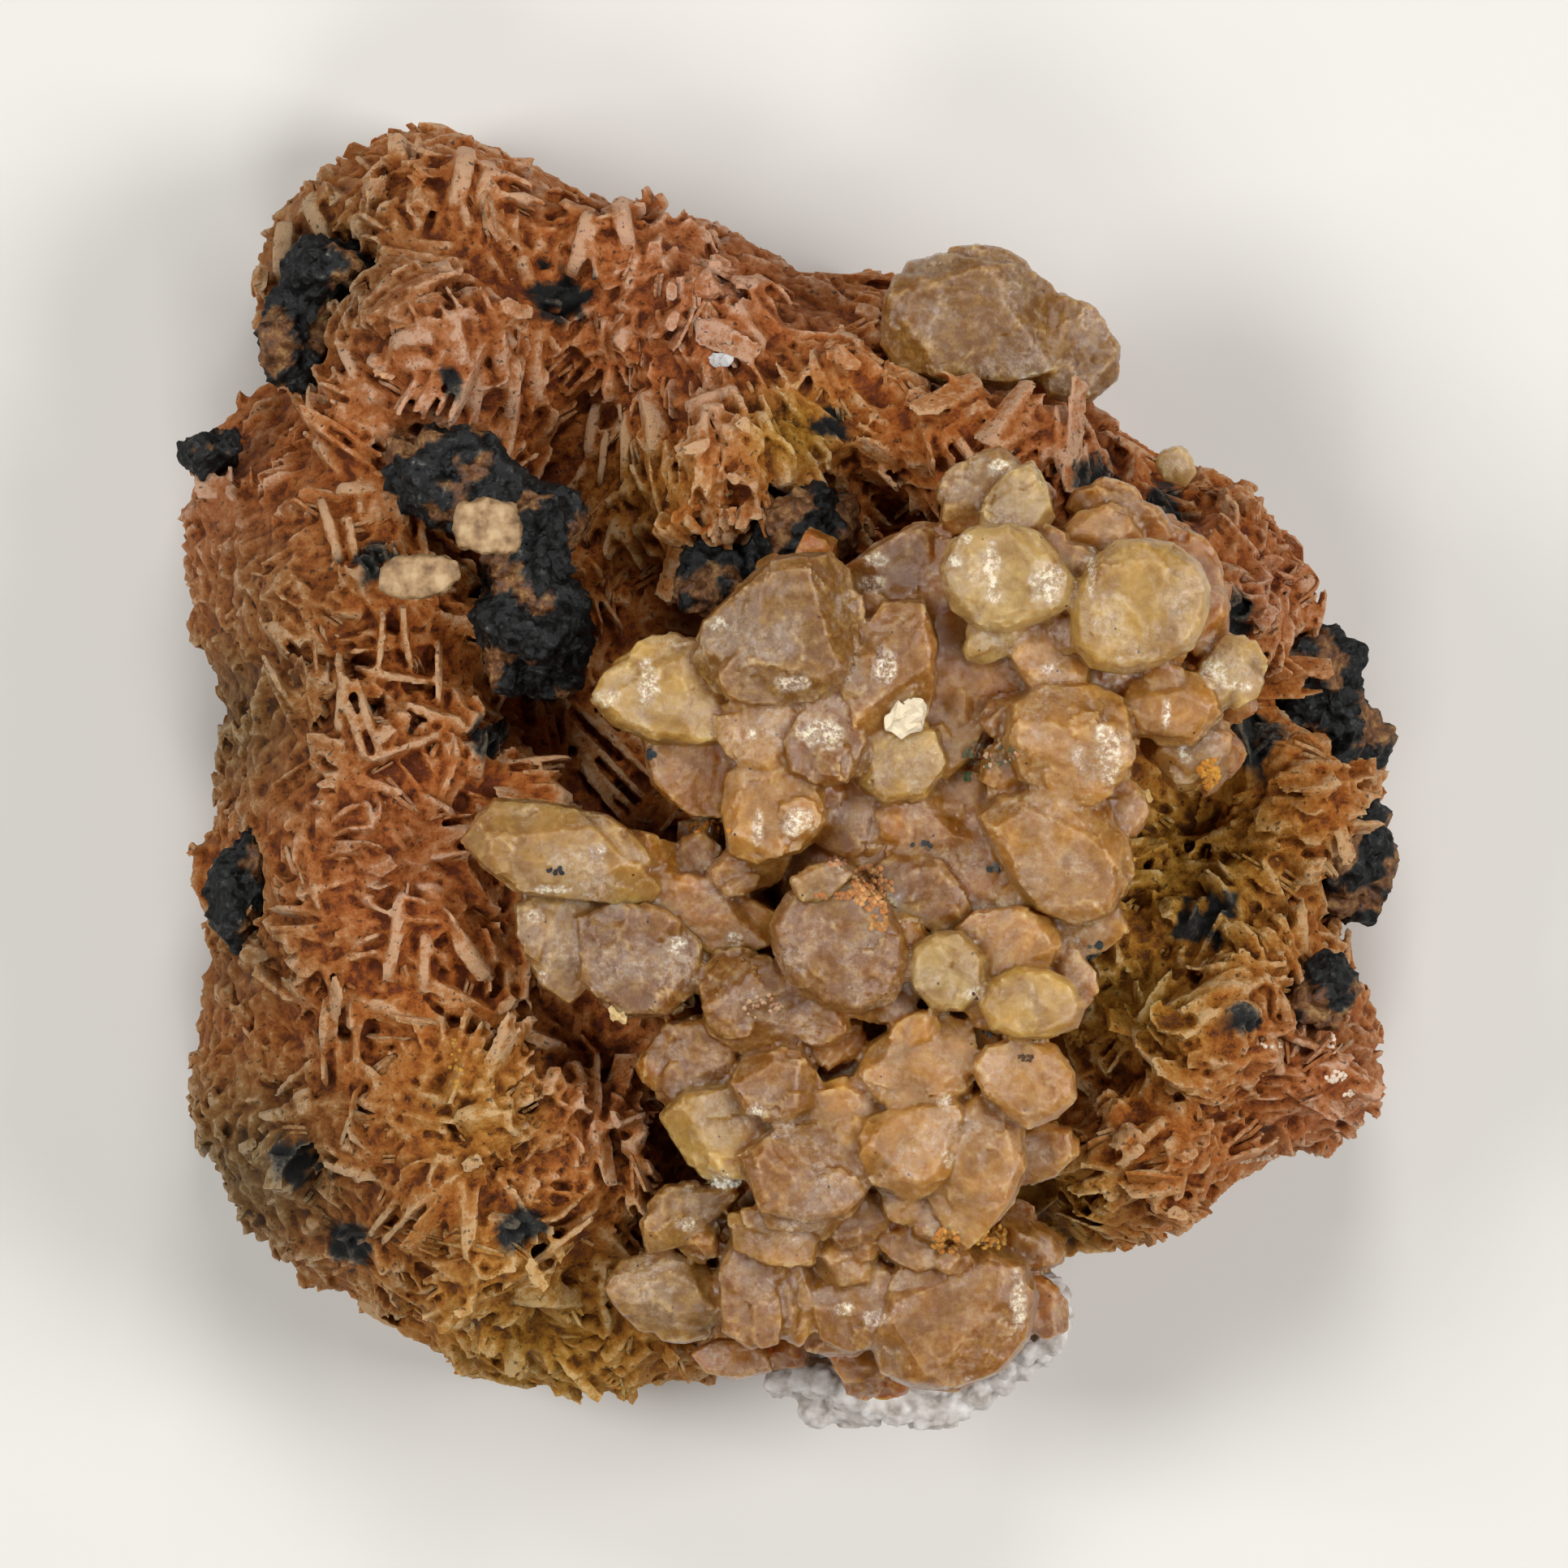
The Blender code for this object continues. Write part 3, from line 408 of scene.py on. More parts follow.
# Crystals of the mound: height of the top, tint, then the outline seen from above, with its corners
# on a sheet of 25 units to the millimetre whose middle is the point SHEET_MIDDLE
SHEET_SCALE = 25.0
SHEET_MIDDLE = (966.0, 966.0)
EYE = (0.04, -0.48, 449.3)
FOCUS_HEIGHT = 20.0
CRYSTALS = {
    "grey_head": (28.8, "grey", (
        (1162, 640), (1165, 608), (1182, 578), (1203, 560), (1238, 554), (1258, 575), (1250, 612),
        (1212, 652), (1180, 655),
    )),
    "pale_head": (29.8, "pale", (
        (1214, 615), (1245, 580), (1272, 571), (1290, 600), (1298, 634), (1288, 655), (1250, 662),
        (1208, 655),
    )),
    "bright_round": (32.3, "pale", (
        (1160, 700), (1170, 668), (1195, 649), (1240, 643), (1278, 655), (1303, 680), (1323, 712),
        (1319, 745), (1290, 764), (1240, 778), (1203, 773), (1175, 748),
    )),
    "bright_foot": (30.6, "pale", (
        (1188, 800), (1198, 770), (1225, 755), (1262, 768), (1260, 792), (1240, 808), (1213, 818),
        (1195, 812),
    )),
    "big_disc": (32.3, "straw", (
        (1322, 755), (1328, 715), (1345, 690), (1378, 668), (1415, 664), (1452, 674), (1478, 693),
        (1493, 722), (1487, 760), (1470, 795), (1432, 818), (1388, 829), (1347, 822), (1324, 797),
    )),
    "behind_disc": (29.2, "honey", (
        (1312, 650), (1332, 630), (1362, 622), (1392, 636), (1410, 665), (1380, 690), (1345, 702),
        (1322, 690),
    )),
    "brown_back": (28.2, "tan", (
        (1318, 625), (1330, 603), (1352, 598), (1385, 606), (1428, 625), (1450, 660), (1410, 680),
        (1350, 640),
    )),
    "right_back": (27.8, "honey", (
        (1430, 640), (1470, 660), (1502, 702), (1516, 745), (1510, 790), (1470, 812), (1440, 780),
        (1430, 700),
    )),
    "under_bright": (30.4, "honey", (
        (1246, 808), (1262, 780), (1292, 762), (1332, 770), (1346, 802), (1334, 852), (1300, 866),
        (1268, 845),
    )),
    "under_disc": (28.6, "amber", (
        (1325, 815), (1360, 810), (1400, 825), (1395, 868), (1350, 870), (1325, 850),
    )),
    "glint_block": (28.4, "pale", (
        (1478, 820), (1505, 792), (1545, 790), (1562, 816), (1548, 850), (1505, 872), (1482, 855),
    )),
    "tan_block": (29.4, "honey", (
        (1378, 868), (1400, 836), (1450, 822), (1490, 836), (1505, 880), (1475, 908), (1405, 905),
    )),
    "tan_foot": (27.2, "honey", (
        (1422, 930), (1436, 900), (1480, 880), (1515, 892), (1512, 930), (1478, 958), (1442, 958),
    )),
    "white_flash": (32.0, "honey", (
        (1242, 915), (1250, 868), (1290, 847), (1345, 846), (1380, 862), (1396, 905), (1388, 955),
        (1350, 980), (1300, 978), (1260, 958),
    )),
    "dusk_wedge": (29.2, "mauve", (
        (1208, 890), (1230, 866), (1258, 856), (1268, 885), (1252, 912), (1222, 908),
    )),
    "flash_foot": (29.0, "honey", (
        (1325, 975), (1372, 952), (1404, 970), (1416, 1000), (1400, 1030), (1365, 1032), (1335, 1008),
    )),
    "broad_block": (31.2, "honey", (
        (1210, 1008), (1235, 984), (1290, 976), (1345, 988), (1376, 1015), (1388, 1090), (1370, 1122),
        (1325, 1138), (1280, 1120), (1246, 1080),
    )),
    "hood": (31.4, "smoke", (
        (858, 810), (870, 765), (905, 742), (930, 722), (950, 692), (985, 683), (1022, 683),
        (1042, 705), (1052, 750), (1057, 802), (1040, 842), (1000, 864), (940, 860), (885, 845),
    )),
    "left_tip": (29.4, "straw", (
        (734, 862), (760, 815), (795, 795), (850, 790), (880, 805), (905, 850), (900, 905), (860, 915),
        (800, 908), (758, 890),
    )),
    "orange_left": (27.6, "amber", (
        (790, 905), (850, 895), (905, 905), (912, 960), (895, 1005), (850, 1002), (805, 965),
    )),
    "small_wedge": (29.8, "honey", (
        (890, 870), (940, 855), (990, 862), (985, 905), (968, 950), (920, 955), (896, 920),
    )),
    "rough_middle": (30.8, "mauve", (
        (968, 915), (985, 878), (1020, 860), (1052, 872), (1066, 912), (1050, 955), (1005, 965),
        (975, 950),
    )),
    "upright": (30.8, "tan", (
        (1040, 830), (1062, 780), (1090, 745), (1138, 742), (1152, 790), (1150, 850), (1132, 900),
        (1090, 912), (1052, 895),
    )),
    "green_middle": (29.8, "straw", (
        (1050, 905), (1100, 885), (1150, 900), (1165, 940), (1140, 980), (1090, 990), (1055, 960),
    )),
    "mauve_back": (28.4, "mauve", (
        (1045, 700), (1080, 672), (1130, 648), (1172, 650), (1168, 710), (1175, 755), (1130, 762),
        (1060, 755),
    )),
    "dusk_gap": (27.6, "amber", (
        (1135, 760), (1175, 750), (1200, 790), (1250, 830), (1240, 880), (1190, 900), (1150, 870),
    )),
    "honey_gap": (28.6, "honey", (
        (1150, 860), (1190, 845), (1215, 880), (1200, 930), (1165, 960), (1145, 920),
    )),
    "white_facet": (30.4, "honey", (
        (898, 955), (945, 935), (985, 945), (1012, 985), (1015, 1012), (985, 1048), (935, 1062),
        (900, 1050), (892, 1000),
    )),
    "facet_foot": (28.6, "tan", (
        (875, 1072), (900, 1045), (945, 1038), (975, 1050), (960, 1085), (915, 1100), (885, 1095),
    )),
    "small_knob": (26.4, "amber", (
        (830, 1055), (840, 1032), (865, 1024), (888, 1045), (882, 1082), (855, 1092), (838, 1080),
    )),
    "middle_dusk": (28.4, "mauve", (
        (1000, 965), (1050, 955), (1085, 975), (1085, 1030), (1050, 1058), (1005, 1040),
    )),
    "amber_block": (28.6, "amber", (
        (1080, 1000), (1120, 978), (1170, 975), (1205, 1000), (1200, 1050), (1150, 1078), (1095, 1060),
    )),
    "mauve_slab": (29.0, "mauve", (
        (1072, 1075), (1110, 1048), (1160, 1060), (1190, 1098), (1200, 1132), (1170, 1152),
        (1125, 1138), (1085, 1108),
    )),
    "deep_right": (28.2, "amber", (
        (1185, 1040), (1225, 1030), (1262, 1070), (1262, 1115), (1215, 1130), (1185, 1100),
    )),
    "yellow_wing": (29.4, "wax", (
        (576, 1038), (590, 1010), (612, 988), (650, 991), (708, 998), (755, 1030), (786, 1065),
        (806, 1092), (800, 1106), (770, 1116), (720, 1104), (680, 1090), (640, 1098), (596, 1066),
    )),
    "frosty_wing": (27.6, "grey", (
        (645, 1100), (690, 1082), (735, 1100), (752, 1150), (735, 1205), (700, 1235), (668, 1212),
        (648, 1170),
    )),
    "pink_left": (28.6, "mauve", (
        (715, 1135), (760, 1108), (820, 1125), (862, 1160), (858, 1215), (820, 1250), (760, 1250),
        (720, 1205),
    )),
    "ochre_left": (27.8, "amber", (
        (790, 1105), (840, 1085), (905, 1100), (955, 1130), (950, 1165), (890, 1180), (830, 1150),
    )),
    "grey_round": (31.2, "mauve", (
        (952, 1140), (970, 1102), (1010, 1080), (1055, 1082), (1090, 1110), (1115, 1155), (1118, 1195),
        (1100, 1232), (1060, 1250), (1012, 1240), (975, 1212), (955, 1175),
    )),
    "round_cap": (31.6, "grey", (
        (975, 1085), (998, 1066), (1030, 1062), (1050, 1078), (1030, 1098), (990, 1112),
    )),
    "speckled": (28.8, "mauve", (
        (862, 1215), (890, 1182), (945, 1180), (990, 1205), (1008, 1255), (985, 1298), (925, 1305),
        (878, 1270),
    )),
    "mauve_low": (26.8, "mauve", (
        (795, 1300), (820, 1262), (865, 1255), (905, 1285), (908, 1332), (870, 1352), (820, 1345),
    )),
    "amber_small": (27.0, "amber", (
        (1000, 1262), (1030, 1240), (1062, 1255), (1060, 1295), (1020, 1322), (998, 1300),
    )),
    "honey_round": (28.8, "tan", (
        (900, 1335), (918, 1306), (955, 1296), (990, 1302), (1010, 1335), (1002, 1362), (965, 1382),
        (920, 1372),
    )),
    "yellow_edge": (28.0, "straw", (
        (815, 1378), (845, 1345), (900, 1340), (955, 1368), (972, 1402), (950, 1432), (905, 1450),
        (850, 1436),
    )),
    "plain_block": (29.2, "tan", (
        (915, 1428), (955, 1392), (1010, 1388), (1052, 1415), (1070, 1460), (1045, 1498), (990, 1506),
        (938, 1494),
    )),
    "tan_between": (28.2, "honey", (
        (1000, 1350), (1040, 1335), (1078, 1358), (1100, 1392), (1072, 1415), (1015, 1408), (985, 1385),
    )),
    "tan_upper": (29.4, "honey", (
        (1056, 1325), (1075, 1288), (1112, 1262), (1155, 1248), (1195, 1265), (1205, 1300),
        (1190, 1345), (1145, 1368), (1090, 1358),
    )),
    "pale_disc": (31.0, "straw", (
        (1208, 1238), (1220, 1210), (1252, 1192), (1292, 1194), (1322, 1212), (1336, 1240),
        (1328, 1266), (1296, 1278), (1250, 1280), (1222, 1268),
    )),
    "twin_left": (30.6, "pale", (
        (1117, 1190), (1125, 1165), (1148, 1148), (1185, 1146), (1212, 1180), (1212, 1222),
        (1185, 1248), (1150, 1244), (1126, 1220),
    )),
    "twin_right": (30.0, "honey", (
        (1180, 1145), (1205, 1124), (1255, 1118), (1292, 1132), (1305, 1168), (1285, 1200),
        (1235, 1212), (1196, 1180),
    )),
    "right_nub": (28.6, "honey", (
        (1290, 1170), (1318, 1160), (1342, 1190), (1348, 1232), (1325, 1250), (1298, 1215),
    )),
    "honey_disc": (30.2, "honey", (
        (1198, 1312), (1215, 1288), (1258, 1277), (1302, 1290), (1326, 1322), (1328, 1355),
        (1300, 1378), (1268, 1392), (1240, 1376), (1212, 1348),
    )),
    "lower_block": (29.6, "honey", (
        (1060, 1425), (1082, 1388), (1125, 1365), (1180, 1362), (1196, 1405), (1165, 1452),
        (1115, 1474), (1075, 1458),
    )),
    "pointed_block": (28.8, "honey", (
        (1130, 1450), (1155, 1385), (1205, 1350), (1255, 1378), (1262, 1440), (1245, 1485),
        (1215, 1510), (1195, 1540), (1172, 1520), (1150, 1488),
    )),
    "right_low": (25.8, "honey", (
        (1245, 1400), (1280, 1385), (1320, 1392), (1325, 1425), (1300, 1450), (1255, 1460),
    )),
    "pink_knob": (26.8, "mauve", (
        (1008, 1502), (1040, 1478), (1088, 1470), (1100, 1500), (1078, 1526), (1040, 1535),
    )),
    "small_cap": (26.0, "tan", (
        (1082, 1530), (1098, 1508), (1135, 1508), (1170, 1532), (1170, 1556), (1130, 1568),
        (1096, 1552),
    )),
    "glass_shard": (24.8, "grey", (
        (792, 1505), (830, 1468), (890, 1462), (915, 1470), (870, 1512), (840, 1535), (800, 1545),
    )),
    "frosty_foot": (23.2, "grey", (
        (750, 1585), (768, 1558), (820, 1540), (862, 1555), (895, 1600), (885, 1632), (835, 1645),
        (790, 1640), (765, 1615),
    )),
    "dull_column": (25.0, "tan", (
        (885, 1570), (905, 1520), (945, 1505), (965, 1550), (970, 1600), (960, 1650), (925, 1662),
        (892, 1640),
    )),
    "column_foot": (24.0, "honey", (
        (950, 1560), (985, 1545), (1008, 1575), (1008, 1635), (985, 1660), (955, 1640),
    )),
    "gap_honey": (26.4, "honey", (
        (900, 1500), (960, 1490), (1010, 1520), (1000, 1560), (950, 1560), (905, 1540),
    )),
    "banded_foot": (24.6, "tan", (
        (1000, 1600), (1015, 1560), (1060, 1540), (1098, 1562), (1110, 1615), (1092, 1655),
        (1050, 1668), (1012, 1650),
    )),
    "big_foot": (25.6, "tan", (
        (1076, 1648), (1095, 1592), (1130, 1556), (1175, 1540), (1225, 1540), (1262, 1560),
        (1274, 1602), (1264, 1650), (1232, 1690), (1178, 1712), (1130, 1708), (1092, 1690),
    )),
    "foot_back": (21.0, "tan", (
        (1262, 1570), (1290, 1582), (1314, 1606), (1316, 1640), (1290, 1650), (1262, 1640),
    )),
    "front_left": (19.8, "tan", (
        (855, 1670), (885, 1652), (940, 1655), (950, 1690), (910, 1700), (870, 1692),
    )),
    "front_middle": (19.4, "honey", (
        (1015, 1660), (1060, 1650), (1095, 1668), (1090, 1700), (1040, 1700),
    )),
}
DISCS = ("bright_round", "big_disc", "honey_disc", "pale_disc", "grey_round", "twin_left", "small_knob")
# The two kinds of crystal: rings of the outline, each with its depth and the outline's share, the
# number of cuts to flat faces, their slopes in degrees and their depths as shares of the reach
DISC = {
    "rings": ((1.3, 0.9), (0.7, 1.0), (0.34, 1.03), (0.1, 0.9), (0.0, 0.68)),
    "cuts": 3,
    "slopes": (8, 24),
    "depths": (0.03, 0.09),
}
BLOCK = {
    "rings": ((1.3, 1.06), (0.5, 1.06), (0.12, 0.98), (0.0, 0.82)),
    "cuts": 5,
    "slopes": (10, 48),
    "depths": (0.08, 0.26),
}
# Painted highlights: white flashes painted on where etched faces catch the lights: how far they reach,
# how ragged their border is, and then each one's place and half sizes on the sheet
FLASH_REACH = 1.6
FLASH_RAGGED = 1.4
FLASH_RAGGED_SIZE = 0.7
FLASHES = (
    (1366, 925, 16, 34), (1330, 930, 6, 16), (985, 1015, 18, 16), (933, 1020, 6, 18),
    (1232, 577, 14, 9), (1222, 697, 9, 26), (1222, 735, 10, 8), (1290, 718, 20, 26), (1188, 665, 8, 6),
    (1178, 692, 10, 7), (1495, 830, 13, 18), (1520, 846, 24, 5), (1437, 880, 5, 20), (1460, 930, 8, 10),
    (1290, 825, 7, 6), (930, 1368, 11, 7), (885, 1455, 28, 7), (845, 1508, 16, 7), (1165, 1362, 9, 12),
    (1170, 1425, 10, 10), (1040, 1612, 13, 7), (1080, 1625, 15, 9), (800, 840, 12, 26),
    (748, 860, 14, 12), (885, 770, 12, 8), (975, 842, 20, 9), (1012, 905, 26, 16), (1090, 820, 13, 22),
    (1075, 690, 20, 7), (1075, 720, 15, 9), (735, 1045, 9, 5), (680, 1096, 18, 5), (660, 1130, 9, 8),
    (835, 1165, 13, 9), (905, 1155, 8, 5), (1255, 1600, 8, 34), (1200, 1225, 12, 8), (1345, 705, 5, 30),
    (925, 905, 7, 9), (668, 1205, 6, 8),
)
# Cores under the mound: middle, half sizes and turn in degrees, the first three in its upper part
MOUND = (
    (9.6, 5.8, 23.6, 10.6, 5.4, 4.8, 8),
    (8.0, -4.6, 23.4, 8.4, 7.8, 4.8, 0),
    (-6.0, -6.8, 22.6, 5.4, 2.8, 3.8, -8),
    (4.6, -17.0, 21.6, 6.8, 7.2, 4.8, 0),
    (3.4, -24.2, 17.8, 6.8, 3.0, 4.6, 0),
)
FILL_GRID = 1.9
SINGLE_CRYSTALS = {
    "cerussite_top": (
        (20.4, "smoke", (
            (1092, 420), (1100, 370), (1122, 322), (1175, 315), (1250, 325), (1290, 350), (1312, 395),
            (1300, 455), (1240, 470), (1165, 465), (1110, 450),
        )),
        (19.4, "smoke", (
            (1280, 380), (1310, 362), (1350, 385), (1380, 425), (1375, 465), (1340, 492), (1295, 485),
            (1275, 440),
        )),
    ),
    "cerussite_rim": ((18.6, "pale", (
        (1424, 575), (1432, 556), (1450, 550), (1468, 562), (1474, 582), (1460, 596), (1436, 592),
    )),),
}
CERUSSITE_TINTS = {
    "honey": "#A06E2A",
    "pale": "#A88A52",
    "straw": "#A88440",
    "wax": "#967038",
    "tan": "#84541A",
    "mauve": "#784A18",
    "grey": "#86602C",
    "amber": "#925A12",
    "smoke": "#784E16",
}


def linear(colour):
    """Linear RGB of an sRGB hex colour."""
    channels = [int(colour[i : i + 2], 16) / 255 for i in (1, 3, 5)]
    return [c / 12.92 if c <= 0.04045 else ((c + 0.055) / 1.055) ** 2.4 for c in channels]


def feed(tree, node, inputs):
    """Gives inputs of a node their links, sRGB hex colours or plain values."""
    for name, value in inputs.items():
        if isinstance(value, bpy.types.NodeSocket):
            tree.links.new(value, node.inputs[name])
        elif isinstance(value, str):
            node.inputs[name].default_value = (*linear(value), 1.0)
        else:
            node.inputs[name].default_value = value


def add_node(tree, kind, inputs=None, stops=None, **settings):
    """Adds a shader node with its settings, its inputs and its ramp's colour stops. By number, inputs
    1 to 4 of a MapRange are the ends it reads and gives, and 6 and 7 of a Mix are its two colours."""
    node = tree.nodes.new("ShaderNode" + kind)
    for name, value in settings.items():
        setattr(node, name, value)
    feed(tree, node, inputs or {})
    if stops:
        ramp = node.color_ramp
        ramp.elements.remove(ramp.elements[1])
        ramp.elements[0].position = stops[0][0]
        ramp.elements[0].color = (*linear(stops[0][1]), 1.0)
        for position, colour in stops[1:]:
            ramp.elements.new(position).color = (*linear(colour), 1.0)
    return node


def new_material(name):
    """An empty node material with its Principled shader."""
    material = bpy.data.materials.new(name)
    material.use_nodes = True
    tree = material.node_tree
    return material, tree, tree.nodes["Principled BSDF"]


def pitch(size):
    """Scale of a texture whose features are about this size in millimetres."""
    return 1 / (size * MM)


def darkened(tree, colour, amount):
    """A colour times a grey amount."""
    grey = add_node(tree, "CombineColor", {0: amount, 1: amount, 2: amount}).outputs[0]
    times = {"data_type": "RGBA", "blend_type": "MULTIPLY"}
    return add_node(tree, "Mix", {0: 1.0, 6: colour, 7: grey}, **times).outputs[2]


def glinting(tree, coords, normal, size, amount):
    """A normal broken into small flat facets of about this size in millimetres, each turned its way."""
    cells = add_node(tree, "TexVoronoi", {"Vector": coords, "Scale": pitch(size)}).outputs["Color"]
    centred = add_node(tree, "VectorMath", {0: cells, 1: (0.5, 0.5, 0.5)}, operation="SUBTRACT").outputs[0]
    offset = add_node(tree, "VectorMath", {0: centred, "Scale": amount}, operation="SCALE").outputs[0]
    turned = add_node(tree, "VectorMath", {0: normal, 1: offset}, operation="ADD").outputs[0]
    return add_node(tree, "VectorMath", {0: turned}, operation="NORMALIZE").outputs[0]


def barite_finish():
    """Barite: tabular crystals coloured by iron, with a dull pearly gloss. Painted light makes their free
    edges pale pink tan, and painted shade darkens the stone to a deep orange brown where the blades run
    into the ground."""
    material, tree, shader = new_material("barite_bladed")
    coords = add_node(tree, "TexCoord").outputs["Object"]
    # Painted light and shade: pale where the skin or a blade stands proud, dark where it is sunk
    painted_relief_shading = add_node(tree, "Attribute", attribute_name="painted_relief_shading").outputs["Fac"]
    tint = add_node(tree, "Attribute", attribute_name="tint").outputs["Fac"]
    # Cloudy growth zones about 1.2 mm across shift how pale a blade is
    cloud = add_node(
        tree, "TexNoise", {"Vector": coords, "Scale": pitch(1.2), "Detail": 4.0, "Roughness": 0.6}
    ).outputs["Fac"]
    shift = add_node(tree, "Math", {0: cloud, 1: 0.5, 2: -0.25}, operation="MULTIPLY_ADD").outputs[0]
    spread = add_node(tree, "Math", {0: tint, 1: 0.36, 2: -0.18}, operation="MULTIPLY_ADD").outputs[0]
    level = add_node(tree, "Math", {0: painted_relief_shading, 1: shift}, operation="ADD").outputs[0]
    level = add_node(tree, "Math", {0: level, 1: spread}, operation="ADD").outputs[0]
    # Grains of 0.4 mm, paler and darker than the blade they lie on
    grain = add_node(
        tree, "TexNoise", {"Vector": coords, "Scale": pitch(0.42), "Detail": 5.0, "Roughness": 0.75}
    ).outputs["Fac"]
    mottle = add_node(tree, "Math", {0: grain, 1: 1.8, 2: -0.9}, operation="MULTIPLY_ADD").outputs[0]
    level = add_node(tree, "Math", {0: level, 1: mottle}, operation="ADD", use_clamp=True).outputs[0]
    colour = add_node(tree, "ValToRGB", {"Fac": level}, stops=BARITE_TONES).outputs["Color"]
    for name, stops in ZONE_TONES.items():
        zone = add_node(tree, "Attribute", attribute_name=name).outputs["Fac"]
        other = add_node(tree, "ValToRGB", {"Fac": level}, stops=stops).outputs["Color"]
        colour = add_node(tree, "Mix", {0: zone, 6: colour, 7: other}, data_type="RGBA").outputs[2]
    # Dark specks of iron and manganese oxide where a noise of 0.32 mm is lowest
    dots = add_node(tree, "TexNoise", {"Vector": coords, "Scale": pitch(0.32), "Detail": 2.0}).outputs["Fac"]
    dots = add_node(tree, "MapRange", {0: dots, 1: 0.3, 2: 0.38, 3: 0.3, 4: 1.0}).outputs[0]
    bump = add_node(tree, "Bump", {"Height": grain, "Strength": 1.0, "Distance": 0.22 * MM}).outputs[0]
    look = {
        "Base Color": darkened(tree, colour, dots),
        "Normal": glinting(tree, coords, bump, 0.3, 0.2),
        "Roughness": add_node(tree, "MapRange", {0: grain, 1: 0.3, 2: 0.7, 3: 0.5, 4: 0.85}).outputs[0],
        "IOR": 1.64,
        "Specular IOR Level": 0.2,
        "Subsurface Weight": 0.5,
        "Subsurface Radius": (1.0, 0.42, 0.15),
        "Subsurface Scale": 0.4 * MM,
    }
    feed(tree, shader, look)
    return material


